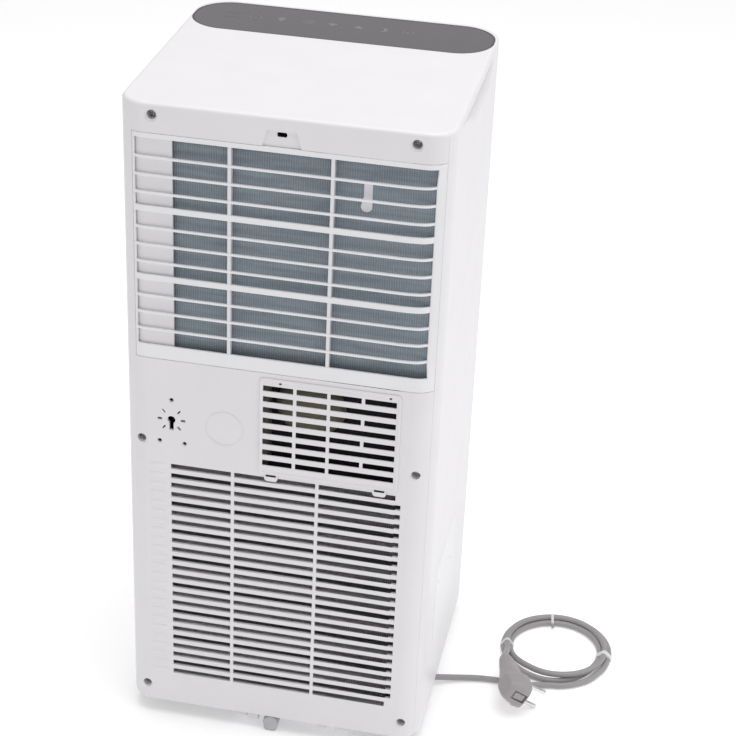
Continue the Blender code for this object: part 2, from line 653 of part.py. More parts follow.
def electrics(white, black, board):
    shape = add_box(bmesh.new(), (-0.138, -0.120, 0.4300), (-0.040, -0.060, 0.5600))
    hollow = add_box(bmesh.new(), (-0.136, -1, 0.4320), (-0.042, -0.062, 0.5580))
    cut(node("control_box", shape, white), hollow)
    lid = add_box(bmesh.new(), (-0.138, -0.1225, 0.4300), (-0.040, -0.120 - GAP, 0.5600))
    node("control_box_lid", lid, white)
    main_board = add_box(bmesh.new(), (-0.134, -0.0660, 0.4340), (-0.044, -0.0644, 0.5560))
    node("main_board", main_board, board)
    can = [(0.018, 0), (0.018, 0.066), (0.013, 0.068)]
    capacitor = add_turned(bmesh.new(), can, (-0.088, -0.098, 0.4345), segments=14)
    node("run_capacitor", capacitor, black, 30)
    display = add_box(bmesh.new(), (-0.120, -0.128, 0.6605), (0.090, -0.070, 0.6620))
    node("display_board", display, board)
    can = [(0.012, 0), (0.012, 0.014), (0.0025, 0.014), (0.0025, 0.0165)]
    place = (0.1335, FRONT + 0.022, OUTLET_Z[0] + 0.018)
    node("louver_motor", add_turned(bmesh.new(), can, place, (-1, 0, 0), 14), black, 30)


# Base and casters


def base_tray(look):
    """The bottom tray, raised inside the shells' skirt, with a stem socket for each caster."""
    low, high = (-0.1480, -0.1425), (0.1480, 0.1320)
    radii = [0.022, 0.022, 0.0315, 0.0315]
    solid = add_prism(bmesh.new(), round_box(low, high, radii), TRAY_BOTTOM, TRAY_TOP)
    tray = node("base_tray", solid, look)
    inner = round_box([side + TRAY_WALL for side in low], [side - TRAY_WALL for side in high],
                      [radius - TRAY_WALL for radius in radii])
    cut(tray, add_prism(bmesh.new(), inner, TRAY_BOTTOM + TRAY_WALL, 1))
    bosses, sockets = bmesh.new(), bmesh.new()
    for x, y in CASTERS:
        add_turned(bosses, cylinder(0.0075, 0.0160), (x, y, TRAY_BOTTOM + 0.0004), segments=12)
        add_turned(sockets, cylinder(SOCKET_RADIUS, 0.0140), (x, y, TRAY_BOTTOM - 0.001), segments=12)
    join(tray, bosses)
    return cut(tray, sockets)


def drain_sump(look):
    """The low point under the tray, with the spout that reaches back past the skirt."""
    low, high = (-0.080, 0.098, 0.0100), (0.038, 0.1310, TRAY_BOTTOM - GAP)
    spout = add_turned(bmesh.new(), cylinder(0.0047, 0.014), (SPOUT_X, 0.125, SPOUT_HEIGHT), (0, 1, 0), 14)
    return join(node("drain_sump", add_box(bmesh.new(), low, high), look), spout)


def cord_clamp(look):
    """The block under the tray that holds the lead's gland."""
    low, high = (-0.098, 0.0218, 0.0030), (-0.084, 0.0458, TRAY_BOTTOM - GAP)
    return node("cord_clamp", add_box(bmesh.new(), low, high), look)


def drain_plug(look):
    cap = [(0, 0.0125), (0, 0.0145), (0.0068, 0.0145), (0.0080, 0.0135), (0.0080, 0), (0.0050, 0),
           (0.0050, 0.0125)]
    mesh = add_turned(bmesh.new(), cap, (SPOUT_X, 0.1325, SPOUT_HEIGHT), (0, 1, 0), 16)
    plug = node("drain_plug", mesh, look, 30)
    move_origin(plug, (SPOUT_X, 0.139, SPOUT_HEIGHT))
    return plug


def caster(number, x, y, fork_look, wheel_look):
    """A fork whose stem turns in the tray's socket, with its wheel trailing behind the stem."""
    axle = (x, y + TRAIL, WHEEL_RADIUS)
    half = WHEEL_WIDTH / 2
    crown = [(0.0095, 0.0335), (0.0095, 0.0404), (STEM_RADIUS, 0.0404), (STEM_RADIUS, 0.0535)]
    solid = add_turned(bmesh.new(), crown, (x, y, 0), segments=14)
    fork = node(f"caster_fork_{number}", solid, fork_look, 30)
    cheeks = bmesh.new()
    for side in (-1, 1):
        inner, outer = x + side * (half + 0.0006), x + side * (half + 0.0024)
        outline = [(y - 0.006, 0.0355), (axle[1] - 0.0045, WHEEL_RADIUS - 0.003),
                   (axle[1], WHEEL_RADIUS - 0.005), (axle[1] + 0.0045, WHEEL_RADIUS - 0.003),
                   (y + 0.0085, 0.0355)]
        add_prism(cheeks, outline, min(inner, outer), max(inner, outer), "X")
    join(fork, cheeks)
    pin = cylinder(0.0018, 2 * half + 0.0036)
    join(fork, add_turned(bmesh.new(), pin, (x - half - 0.0018, axle[1], axle[2]), (1, 0, 0), 10))
    move_origin(fork, (x, y, 0))
    shoulder = WHEEL_RADIUS - 0.0015
    profile = [(0.0020, 0), (shoulder, 0), (WHEEL_RADIUS, 0.0018), (WHEEL_RADIUS, WHEEL_WIDTH - 0.0018),
               (shoulder, WHEEL_WIDTH), (0.0020, WHEEL_WIDTH)]
    tyre = add_turned(bmesh.new(), profile, (x - half, *axle[1:]), (1, 0, 0), 18, True)
    wheel = node(f"caster_wheel_{number}", tyre, wheel_look, 30)
    move_origin(wheel, axle)


def rear_screws(look):
    for i, (x, z) in enumerate(SCREWS):
        profile = [(0.0016, -0.0034), (0.0016, 0.0003), (0.0037, 0.0003), (0.0037, 0.0015), (0.0022, 0.0027)]
        mesh = add_turned(bmesh.new(), profile, (x, REAR - SCREW_SEAT, z), (0, 1, 0), 8)
        node(f"rear_screw_{i + 1}", mesh, look, 30)


# Mains lead


def plug_frame():
    """A rotation with X along the pins, Y from pin to pin and Z up the boot."""
    along = PIN_DIRECTION
    boot = along.cross(PIN_LINE).normalized() * -1
    return Matrix((along, boot.cross(along), boot)).transposed()


def lead(grey, metal):
    gland = [(0.0075, 0), (0.0075, 0.003), (0.0058, 0.0036), (0.0045, 0.0257)]
    node("cord_gland", add_turned(bmesh.new(), gland, GLAND, (-1, 0, 0), 14), grey, 30)
    add_tube("power_cord", smooth_route(LEAD_ROUTE, 0.012), LEAD_DIAMETER / 2, grey)
    ring = [(COIL_INNER, 0), (COIL_OUTER - 0.002, 0), (COIL_OUTER, 0.003), (COIL_OUTER, 0.007),
            (COIL_OUTER - 0.005, COIL_HEIGHT), (COIL_INNER + 0.003, COIL_HEIGHT),
            (COIL_INNER, 0.008)]
    node("cord_coil", add_turned(bmesh.new(), ring, (*COIL_CENTRE, GAP), segments=32, ring=True), grey, 40)
    add_tube("cord_tail", smooth_route(TAIL_ROUTE, 0.012), LEAD_DIAMETER / 2, grey)
    turn = plug_frame()
    head = turn @ Vector((-0.010, 0, 0)) + PLUG_FACE
    body = [(0.0172, -0.019), (0.0190, -0.016), (0.0190, -0.003), (0.0175, 0)]
    plug = node("plug_body", add_turned(bmesh.new(), body, PLUG_FACE, PIN_DIRECTION, 20), grey, 40)
    boot = [(0.0085, 0.004), (0.0078, 0.024), (0.0062, 0.034), (0.0046, 0.0545)]
    join(plug, add_turned(bmesh.new(), boot, head, turn.col[2], 14))
    for i, side in enumerate((1, -1)):
        place = PLUG_FACE + turn @ Vector((GAP, side * PIN_SPACING / 2, 0))
        pin = [(PIN_RADIUS, 0), (PIN_RADIUS, PIN_LENGTH - 0.0012), (0.0014, PIN_LENGTH)]
        node(f"plug_pin_{i + 1}", add_turned(bmesh.new(), pin, place, PIN_DIRECTION, 12), metal, 30)
    return plug


def build():
    clear_scene()
    white = material(WHITE, 0.45)
    grey_plastic = material(GREY, 0.5)
    copper = material(COPPER, 0.3, 1)
    steel = material(STEEL, 0.3, 1)
    black = material(BLACK, 0.5)
    beige = material(BEIGE, 0.6)
    fins = material((0.35, 0.37, 0.39), 0.4, 1)
    board = material((0.03, 0.16, 0.07), 0.5)

    base_tray(material(WHITE, 0.5))
    drain_sump(material(WHITE, 0.5))
    drain_plug(material((0.45, 0.46, 0.47), 0.3))
    cord_clamp(grey_plastic)
    front_shell(white)
    rear_panel(white)
    top_cover(white)
    control_panel(material(DARK_GLOSS, 0.15))
    filter_frame(white)
    filter_mesh(material((0.16, 0.20, 0.23), 0.7))
    exhaust_grille(white)
    outlet_louver(white)
    outlet_vanes(white)
    air_duct(beige)
    middle_deck(beige)
    exhaust_duct(beige)
    scroll("evaporator_volute", EVAPORATOR_AXIS, (0.012, 0.080), 0.074, 0.094, 0.080, 0.052, beige)
    blower_wheel("evaporator_blower", EVAPORATOR_AXIS, (0.018, 0.074), 0.068, black)
    motor("evaporator_motor", EVAPORATOR_AXIS, (-0.040, 0.008), 0.034, 0.020, steel)
    scroll("condenser_scroll", CONDENSER_AXIS, (0.022, 0.088), 0.080, 0.100, 0.102, 0.056, beige)
    blower_wheel("condenser_blower", CONDENSER_AXIS, (0.028, 0.082), 0.074, black)
    motor("condenser_motor", CONDENSER_AXIS, (-0.030, 0.018), 0.034, 0.020, steel)
    coil_block("evaporator_coil", *EVAPORATOR_COIL, 9, fins)
    coil_block("condenser_coil", *CONDENSER_COIL, 10, fins)
    compressor(material((0.02, 0.02, 0.02), 0.4))
    compressor_feet(black)
    accumulator(copper)
    refrigerant_pipes(copper)
    electrics(grey_plastic, black, board)
    for number, (x, y) in enumerate(CASTERS, 1):
        caster(number, x, y, grey_plastic, black)
    rear_screws(steel)
    lead(grey_plastic, steel)


build()
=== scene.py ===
"""Looks of the portable air conditioner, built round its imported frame.

Metres, +Z up, in the frame of the CAD part: the front faces -Y and the back, with the filter and
the two grilles, faces +Y. The mains lead lies coiled beside the -X side.
"""

import math

import bmesh
import bpy
from mathutils import Matrix, Vector
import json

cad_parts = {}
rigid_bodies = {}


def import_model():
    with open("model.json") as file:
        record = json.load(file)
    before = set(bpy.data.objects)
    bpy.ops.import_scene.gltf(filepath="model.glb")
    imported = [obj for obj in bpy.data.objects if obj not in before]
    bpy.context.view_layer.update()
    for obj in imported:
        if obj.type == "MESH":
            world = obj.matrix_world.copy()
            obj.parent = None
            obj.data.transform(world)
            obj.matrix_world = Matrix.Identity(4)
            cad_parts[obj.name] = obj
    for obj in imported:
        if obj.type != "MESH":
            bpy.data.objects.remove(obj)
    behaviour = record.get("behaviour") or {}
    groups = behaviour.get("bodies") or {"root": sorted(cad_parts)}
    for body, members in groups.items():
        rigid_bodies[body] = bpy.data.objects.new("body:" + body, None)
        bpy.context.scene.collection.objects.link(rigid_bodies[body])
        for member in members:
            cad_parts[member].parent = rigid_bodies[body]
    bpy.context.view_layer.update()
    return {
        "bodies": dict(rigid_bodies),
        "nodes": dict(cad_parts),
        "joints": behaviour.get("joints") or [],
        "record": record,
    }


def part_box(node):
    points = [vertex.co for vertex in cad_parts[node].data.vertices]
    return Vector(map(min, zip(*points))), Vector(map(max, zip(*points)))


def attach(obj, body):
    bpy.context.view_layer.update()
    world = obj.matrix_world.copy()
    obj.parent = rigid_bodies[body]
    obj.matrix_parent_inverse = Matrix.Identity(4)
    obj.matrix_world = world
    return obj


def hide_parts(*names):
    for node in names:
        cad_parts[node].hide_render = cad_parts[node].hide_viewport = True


# Body
WIDTH, DEPTH, HEIGHT = 0.303, 0.292, 0.675
SKIRT, WALL, GAP = 0.0185, 0.003, 0.0003
REAR_RADIUS, FRONT_RADIUS = 0.025, 0.035
REAR_SEAM, CAP_SEAM = 0.1372, 0.6708
REAR, FRONT, SIDE = DEPTH / 2, -DEPTH / 2, WIDTH / 2
REAR_FLAT = SIDE - REAR_RADIUS  # half the width of the flat of the rear face
TOP_FILLET = 0.0042
LIP = 0.0015

# Filter frame
FILTER_BOTTOM, FILTER_TOP, FILTER_SIDE = 0.4205, 0.6465, 0.1376
FILTER_ROWS, FILTER_PITCH, FILTER_FIRST = 12, 0.01725, 0.4345
FILTER_SLAT, FILTER_TALLER, FILTER_THICK = 0.0023, 0.0034, (3, 7)
FILTER_RIBS, FILTER_OPEN = (0.0477, -0.0458), (-0.1392, 0.1361)
SLAT_DEPTH, RIB_INSET, DIP_START, SLAT_DIP = 0.0026, 0.0007, -0.112, 0.0032
BLANK_X, BLANK_DEPTH = (0.1009, 0.1383), 0.0036
PULL_X, PULL_Y, PULL_Z, PULL_HALF, PULL_FOOT = -0.0765, (0.1370, 0.1380), (0.5915, 0.6215), 0.0040, 0.0053

# Exhaust outlet
EXHAUST_X, EXHAUST_Z = (-0.1175, 0.0175), (0.3105, 0.4155)
EXHAUST_ROWS, EXHAUST_PITCH, EXHAUST_FIRST, EXHAUST_SLOT = 8, 0.0116, 0.3203, 0.0060
EXHAUST_RIBS, EXHAUST_OPEN = (-0.0164, -0.0488, -0.0815), (-0.1130, 0.0141)
EXHAUST_RIM, BAR_THICKNESS = 0.0025, 0.0015
PIN_HOLES, PIN_HOLE, PIN_HOLE_Z = (-0.1071, -0.0024), 0.0012, (0.4100, 0.4120)  # middles, half width
DUCT_Y, DUCT_WALL = (0.1150, 0.1400), 0.0008
VANE, VANE_RADIUS, VANE_STRETCH = (-0.026, 0.374), 0.030, 1.15
VANE_STEPS = ((0.1170, 1.0), (0.1215, 0.95), (0.1255, 0.82), (0.1280, 0.62), (0.1290, 0.38))  # y, share
EXHAUST_TABS, TAB_WIDTH, TAB_HEIGHT = (0.0052, -0.1003), 0.013, 0.007

# Condenser grille
GRILLE_X, GRILLE_RIBS = (-0.1212, 0.1046), (-0.0397, 0.0433)
GRILLE_SHORT = {0: -0.1150, 23: -0.1160}  # rows that end early on the -X side: where they end
GRILLE_ROWS, GRILLE_PITCH, GRILLE_FIRST, GRILLE_SLOT = 24, 0.01068, 0.0553, 0.0057
BLIND_RIB_X = (0.1095, 0.1262)
RIB, SCREEN_PITCH = 0.0032, 0.0022  # the upright ribs of all the grilles, and the filter screen's weave

# Details on the rear face, as (x, z)
SCREW_PAIRS = ((0.119, 0.6635), (0.1338, 0.3307), (0.133, 0.0365))
SCREWS = [(side * x, z) for x, z in SCREW_PAIRS for side in (1, -1)]
SCREW_SEAT, SCREW_HOLE = 0.0095, 0.0044
KEYHOLE, KEYHOLE_RADIUS, KEYHOLE_SLOT = (0.1034, 0.356), 0.0040, (0.0022, 0.0115)  # half width, drop
VENT_REACH, VENT_HALF = (0.0092, 0.0138), 0.0010
VENTS = {0: 1.3, 180: 1.3, 50: 0.8, 130: 0.8, 230: 0.8, 310: 1.1}  # angle: width against VENT_HALF
KEYHOLE_SCREWS = ((0, 0.0213), (0.0121, -0.0248), (-0.0126, -0.0252))
KNOCKOUT, KNOCKOUT_GROOVE = (0.0515, 0.3545), (0.0177, 0.0185)
LATCH = [(-0.0175, 0.6467), (0.0180, 0.6467), (0.0140, 0.6620), (-0.0130, 0.6620)]
LATCH_HOLE = (-0.004, 0.6560), (0.005, 0.6605)

# Pocket grips: the part of each side wall that they take, as (y, z)
GRIP_WINDOW = ((-0.090, 0.108), (0.632, 0.6690))
GRIP_ROOF, GRIP_FOOT, GRIP_DEPTH = 0.6662, 0.640, 0.0225

# Air outlet, panel and blank label
OUTLET_X, OUTLET_Z, LOUVER_PIN = 0.115, (0.592, 0.646), 0.1143
PANEL_LOW, PANEL_HIGH, PANEL_RADIUS, PANEL_DEPTH = (-0.149, -0.139), (0.149, -0.059), 0.036, 0.0018
DISPLAY_X, DISPLAY_HALF = (0.101, 0.122), 0.0060
ICON_ROW, ICON_SIZE, RING_WIDTH, PRINT = -0.103, 0.0060, 0.0009, 0.00012
ICONS = (0.088, 0.062, 0.035, 0.011, -0.015, -0.038, -0.064)  # power, drop, breeze, up, down, night, timer
LABEL_Y, LABEL_Z = (-0.034, 0.084), (0.091, 0.182)

# Heat exchangers
FIN_PITCH, FIN_THICKNESS, HAIRPIN_RADIUS, HAIRPIN_REACH = 0.0018, 0.00025, 0.0035, 0.0035

# Base and casters
CASTERS = [(0.118, -0.112), (-0.118, -0.112), (0.118, 0.086), (-0.118, 0.086)]
WHEEL_RADIUS, WHEEL_WIDTH, TRAIL = 0.0155, 0.011, 0.006
STEM_RADIUS, CROWN_Z, STEM_TOP = 0.0039, (0.0335, 0.0404), 0.0535
SPOUT, DRAIN_GRIP_Y, LUG_FRONT = (0.002, 0.1325, 0.0101), (0.1420, 0.1460), 0.1300
BASE_LUGS = ((0.0150, 0.0265, 0.0075), (0.0275, 0.0400, 0.0055), (-0.0560, -0.0480, 0.0045),
             (-0.0800, -0.0660, 0.0040))  # left, right, drop

# Mains lead, from the gland to the coil, then from the coil's last turn to the plug
LEAD_DIAMETER, LEAD_LENGTH = 0.0064, 1.143
GLAND, GLAND_LENGTH = (-0.0983, 0.0338, 0.0112), 0.0257
COIL_CENTRE = (-0.269, -0.062)
LEAD_ROUTE = [
    (-0.1243, 0.0338, 0.0112), (-0.1310, 0.0332, 0.0110), (-0.1380, 0.0309, 0.0102),
    (-0.1500, 0.0260, 0.0083), (-0.1650, 0.0192, 0.0056), (-0.1800, 0.0137, 0.0040),
    (-0.1900, 0.0112, 0.0036), (-0.2010, 0.0098, 0.0036), (-0.2150, 0.0092, 0.0036),
    (-0.2320, 0.0095, 0.0036), (-0.2500, 0.0082, 0.0036), (-0.2620, 0.0056, 0.0036),
    (-0.2720, 0.0031, 0.0036), (-0.2809, 0.0019, 0.0035),
]
TAIL_ROUTE = [
    (-0.2172, -0.0440, 0.0096), (-0.2180, -0.0350, 0.0120), (-0.2181, -0.0262, 0.0160),
    (-0.2179, -0.0178, 0.0203), (-0.2184, -0.0098, 0.0232), (-0.2198, -0.0032, 0.0241),
]
# Along the coil's turns, in degrees: where each change of radius and of height begins and ends
COIL_TURNS, COIL_STEP = (122, 1090), 11
COIL_RADII = [(122, 0.0624), (150, 0.0585), (170, 0.0575), (440, 0.0575), (520, 0.0478), (660, 0.0478),
              (715, 0.0504), (760, 0.0504), (830, 0.0535), (880, 0.0527), (1010, 0.0527), (1075, 0.0540),
              (1090, 0.0540)]
COIL_HEIGHTS = [(122, 0.00335), (730, 0.00335), (790, 0.0088), (825, 0.0098), (860, 0.0091), (890, 0.0077),
                (1000, 0.0077), (1070, 0.00875), (1090, 0.00875)]
TIES, KNOBBED_TIE = {7: 0.0034, -78: 0.0030, 177: 0.0062}, -78  # angle round the coil: width
PLUG_FACE = Vector((-0.2484, 0.0447, 0.0202))
PIN_DIRECTION = Vector((-0.79, -0.31, -0.53)).normalized()
PIN_LINE = Vector((-0.48, -0.22, 0.85))
PIN_SPACING, PIN_LENGTH, PIN_RADIUS = 0.019, 0.019, 0.0024
BOOT_LENGTH = 0.0545


# Materials

LOOKS = {}  # every material, by its name


def shader_of(look):
    return look.node_tree.nodes["Principled BSDF"]


def join(look, source, target):
    look.node_tree.links.new(source, target)


def new_look(name, colour, roughness, metallic=0.0, **sockets):
    made = bpy.data.materials.new(name)
    made.use_nodes = True
    values = {"Base Color": (*colour, 1), "Roughness": roughness, "Metallic": metallic, **sockets}
    for socket, value in values.items():
        shader_of(made).inputs[socket.replace("_", " ")].default_value = value
    LOOKS[name] = made
    return made


def add_node(look, kind, **values):
    made = look.node_tree.nodes.new(kind)
    for name, value in values.items():
        if name in made.inputs:
            made.inputs[name].default_value = value
        else:
            setattr(made, name, value)
    return made


def pattern(look, kind, stretch=(1, 1, 1), **values):
    """A texture over the object's own coordinates, and the number that it gives."""
    place = add_node(look, "ShaderNodeTexCoord")
    scale = add_node(look, "ShaderNodeMapping", Scale=stretch)
    texture = add_node(look, kind, **values)
    join(look, place.outputs["Object"], scale.inputs["Vector"])
    join(look, scale.outputs["Vector"], texture.inputs["Vector"])
    return texture.outputs["Fac"] if "Fac" in texture.outputs else texture.outputs[0]


def noise(look, size, detail=3.0, stretch=(1, 1, 1)):
    return pattern(look, "ShaderNodeTexNoise", stretch, Scale=1 / size, Detail=detail)


def stripes(look, pitch, direction):
    """Bands of that pitch along an axis."""
    return pattern(look, "ShaderNodeTexWave", Scale=math.tau / 20 / pitch, bands_direction=direction)


def tint(look, factor, low, high):
    """Lets the pattern run the base colour between two colours."""
    mix = add_node(look, "ShaderNodeMix", data_type="RGBA")
    mix.inputs[6].default_value = (*low, 1)
    mix.inputs[7].default_value = (*high, 1)
    join(look, factor, mix.inputs["Factor"])
    join(look, mix.outputs[2], shader_of(look).inputs["Base Color"])


def roughen(look, factor, low, high):
    span = add_node(look, "ShaderNodeMapRange")
    span.inputs["To Min"].default_value = low
    span.inputs["To Max"].default_value = high
    join(look, factor, span.inputs["Value"])
    join(look, span.outputs[0], shader_of(look).inputs["Roughness"])


def relief(look, factor, height):
    """Adds the pattern to the surface's relief, over any relief that is already there."""
    normal = shader_of(look).inputs["Normal"]
    bump = add_node(look, "ShaderNodeBump", Distance=height, Strength=1.0)
    join(look, factor, bump.inputs["Height"])
    if normal.links:
        join(look, normal.links[0].from_socket, bump.inputs["Normal"])
    join(look, bump.outputs["Normal"], normal)


def shade(colour, share):
    return tuple(channel * share for channel in colour)


def moulded(name, colour, roughness, grain=0.0006, height=0.00002, variation=0.04, **sockets):
    """Injection-moulded plastic: faint flow marks in its colour, a fine spark-eroded grain."""
    look = new_look(name, colour, roughness, **sockets)
    tint(look, noise(look, 0.045), shade(colour, 1 - variation), shade(colour, 1 + variation / 2))
    roughen(look, noise(look, 0.012), roughness - 0.06, roughness + 0.06)
    relief(look, noise(look, grain, 2), height)


def metal(name, colour, roughness, size=0.0015, brushed=(1, 1, 1)):
    """Metal with brush or drawing marks along one axis."""
    look = new_look(name, colour, roughness, 1.0)
    marks = noise(look, size, 4, brushed)
    tint(look, marks, shade(colour, 0.8), colour)
    roughen(look, marks, roughness - 0.08, roughness + 0.12)
    relief(look, marks, 0.00001)


def screen_cloth():
    """Filter screen: a fine upright weave over uneven patches."""
    look = new_look("mesh_fabric", (0.13, 0.17, 0.20), 0.75)
    patches = noise(look, 0.020, 3, (0.35, 1, 4))
    weave = stripes(look, SCREEN_PITCH, "X")
    both = add_node(look, "ShaderNodeMath", operation="MULTIPLY_ADD")
    both.inputs[1].default_value = 0.38
    join(look, weave, both.inputs[0])
    join(look, patches, both.inputs[2])
    tint(look, both.outputs[0], (0.115, 0.130, 0.160), (0.300, 0.355, 0.395))
    relief(look, weave, 0.00025)
    relief(look, stripes(look, SCREEN_PITCH * 0.7, "Z"), 0.00012)


def fin_metal(name, band, low, high):
    """Aluminium fins, in pale and dark bands of this height."""
    look = new_look(name, (0.60, 0.61, 0.62), 0.5, 0.2)
    tint(look, stripes(look, band, "Z"), low, high)
    roughen(look, noise(look, 0.002), 0.35, 0.6)


def circuit():
    look = new_look("board_green", (0.03, 0.16, 0.07), 0.35)
    traces = pattern(look, "ShaderNodeTexBrick", Scale=90.0)
    tint(look, traces, (0.02, 0.11, 0.05), (0.05, 0.24, 0.10))


def make_looks():
    moulded("white_shell", (0.795, 0.785, 0.800), 0.42, Coat_Weight=0.08, Coat_Roughness=0.3)
    # A lighter copy of the shell's white for the filter frame: painted light, for the light and highlight
    # that its slats catch.
    moulded("frame_white_painted_light", (0.84, 0.84, 0.855), 0.35, Coat_Weight=0.1)
    moulded("white_tray", (0.70, 0.69, 0.705), 0.5)
    moulded("panel_gloss", (0.085, 0.080, 0.086), 0.22, 0.0015, 0.000004, 0.08,
            Coat_Weight=0.3, Coat_Roughness=0.12)
    moulded("panel_rim", (0.06, 0.06, 0.065), 0.35)
    moulded("print", (0.190, 0.190, 0.200), 0.5)
    moulded("label", (0.76, 0.76, 0.775), 0.3, 0.003, 0.000004, 0.02)
    screen_cloth()
    moulded("drain_grey", (0.55, 0.56, 0.57), 0.3, Transmission_Weight=0.15)
    moulded("duct_beige", (0.200, 0.190, 0.145), 0.7, 0.002, 0.0001, 0.25)
    moulded("blower_black", (0.03, 0.03, 0.032), 0.5)
    metal("motor_steel", (0.58, 0.59, 0.61), 0.35, brushed=(1, 8, 1))
    fin_metal("fins", 3 * GRILLE_PITCH, (0.27, 0.275, 0.28), (0.88, 0.88, 0.89))
    fin_metal("cold_fins", 0.0254, (0.50, 0.505, 0.51), (0.60, 0.605, 0.61))
    moulded("compressor_black", (0.02, 0.02, 0.021), 0.28, 0.003, 0.00006)
    metal("copper", (0.72, 0.36, 0.21), 0.25, 0.006)
    moulded("rubber_feet", (0.035, 0.035, 0.035), 0.8, 0.0008, 0.00008)
    metal("box_grey", (0.50, 0.51, 0.53), 0.4, 0.010)
    moulded("capacitor_black", (0.035, 0.035, 0.035), 0.35)
    circuit()
    metal("screw_steel", (0.52, 0.52, 0.53), 0.5, 0.0008)
    moulded("fork_grey", (0.10, 0.10, 0.105), 0.45)
    moulded("caster_tyre", (0.045, 0.045, 0.048), 0.65, 0.0010, 0.00006)
    moulded("lead_grey", (0.325, 0.315, 0.320), 0.48, 0.0007, 0.00003, 0.06, Sheen_Weight=0.1)
    moulded("plug_grey", (0.36, 0.340, 0.345), 0.5, 0.0010, 0.00012, 0.12)
    moulded("tie", (0.74, 0.74, 0.75), 0.4, 0.0010, 0.00002, 0.03)
    metal("pin_chrome", (0.80, 0.80, 0.80), 0.14, 0.004)
    # Near-black painted shade: stands in for the shade inside the exhaust duct and in the slits above the
    # exhaust tabs.
    moulded("painted_shade_black", (0.012, 0.012, 0.013), 0.9)


# Mesh makers


def arc(centre, radius, start, end, steps):
    angles = [math.radians(start + (end - start) * i / steps) for i in range(steps + 1)]
    return [(centre[0] + radius * math.cos(a), centre[1] + radius * math.sin(a)) for a in angles]


def round_box(low, high, radii, steps=12):
    """A rectangle's outline with round corners. The radii start at (high, high) and run anticlockwise."""
    centres = [
        (high[0] - radii[0], high[1] - radii[0]),
        (low[0] + radii[1], high[1] - radii[1]),
        (low[0] + radii[2], low[1] + radii[2]),
        (high[0] - radii[3], low[1] + radii[3]),
    ]
    points = []
    for i, (centre, radius) in enumerate(zip(centres, radii)):
        points += arc(centre, radius, 90 * i, 90 * i + 90, steps)
    return points


def rings_of(outline, profile):
    """The outline at each (inset, z) of a profile."""
    return [[(x, y, z) for x, y in outline(inset)] for inset, z in profile]


def body_outline(inset):
    radii = [radius - inset for radius in (REAR_RADIUS, REAR_RADIUS, FRONT_RADIUS, FRONT_RADIUS)]
    return round_box((-SIDE + inset, FRONT + inset), (SIDE - inset, REAR - inset), radii, 16)


def upright_rings(xs, zs, radius, profile, steps):
    """A rectangle with round corners, facing the back, at each (inset, y) of a profile."""
    rings = []
    for inset, y in profile:
        low, high = (xs[0] + inset, zs[0] + inset), (xs[1] - inset, zs[1] - inset)
        rings.append([(x, y, z) for x, z in round_box(low, high, [radius - inset] * 4, steps)])
    return rings


def loft(mesh, rings, closed=False):
    """Skins rings of points. Its two ends are capped, unless the last ring joins the first."""
    rows = [[mesh.verts.new(point) for point in ring] for ring in rings]
    pairs = list(zip(rows, rows[1:])) + ([(rows[-1], rows[0])] if closed else [])
    faces = [] if closed else [mesh.faces.new(rows[0]), mesh.faces.new(rows[-1])]
    for below, above in pairs:
        for i, vert in enumerate(below):
            after = (i + 1) % len(below)
            faces.append(mesh.faces.new((vert, below[after], above[after], above[i])))
    bmesh.ops.recalc_face_normals(mesh, faces=faces)
    return mesh


def prism(mesh, outline, low, high, axis="Z"):
    """An outline extruded along an axis. Along Y its points are (x, z), along X (y, z)."""
    places = {"Z": lambda a, b, c: (a, b, c), "Y": lambda a, b, c: (a, c, b), "X": lambda a, b, c: (c, a, b)}
    return loft(mesh, [[places[axis](a, b, level) for a, b in outline] for level in (low, high)])


def box(mesh, low, high):
    corners = [(low[0], low[1]), (high[0], low[1]), (high[0], high[1]), (low[0], high[1])]
    return prism(mesh, corners, low[2], high[2])


def turned(mesh, profile, centre, axis=(0, 0, 1), segments=32, ring=False):
    """A profile of (radius, height) pairs turned round an axis. A ring's profile closes on itself."""
    turn = Vector((0, 0, 1)).rotation_difference(Vector(axis)).to_matrix()
    rings = []
    for radius, height in profile:
        steps = [math.tau * i / segments for i in range(segments)]
        circle = [Vector((radius * math.cos(a), radius * math.sin(a), height)) for a in steps]
        rings.append([Vector(centre) + turn @ point for point in circle])
    return loft(mesh, rings, ring)


def mesh_data(name, mesh):
    data = bpy.data.meshes.new(name)
    mesh.to_mesh(data)
    mesh.free()
    return data


def add_object(name, data):
    thing = bpy.data.objects.new(name, data)
    bpy.context.scene.collection.objects.link(thing)
    return thing


def piece(name, mesh, look, body="cabinet", stands_for=(), sharp=35):
    """Makes the mesh a piece that rides on a body, with edges over the sharp angle kept sharp."""
    data = mesh_data(name, mesh)
    data.shade_smooth()
    data.set_sharp_from_angle(angle=math.radians(sharp))
    thing = add_object(name, data)
    data.materials.append(LOOKS[look])
    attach(thing, body)
    if stands_for:
        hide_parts(*stands_for)
    return thing


def settle(thing):
    """Applies the piece's modifiers."""
    graph = bpy.context.evaluated_depsgraph_get()
    data = bpy.data.meshes.new_from_object(thing.evaluated_get(graph))
    thing.modifiers.clear()
    thing.data = data
    return thing


def even_normals(thing):
    """Lets the large faces set the shading, so that flats stay flat beside their rounded edges."""
    if "custom_normal" in thing.data.attributes:
        thing.data.attributes.remove(thing.data.attributes["custom_normal"])
    thing.data.set_sharp_from_angle(angle=math.radians(50))
    weight = thing.modifiers.new("flat shading", "WEIGHTED_NORMAL")
    weight.keep_sharp = True
    return thing


def cut(thing, *meshes):
    """Takes closed meshes out of a piece."""
    tools = []
    for mesh in meshes:
        tool = add_object("cutter", mesh_data("cutter", mesh))
        step = thing.modifiers.new("cut", "BOOLEAN")
        step.operation = "DIFFERENCE"
        step.object = tool
        tools.append(tool)
    settle(thing)
    for tool in tools:
        bpy.data.objects.remove(tool)
    return even_normals(thing)


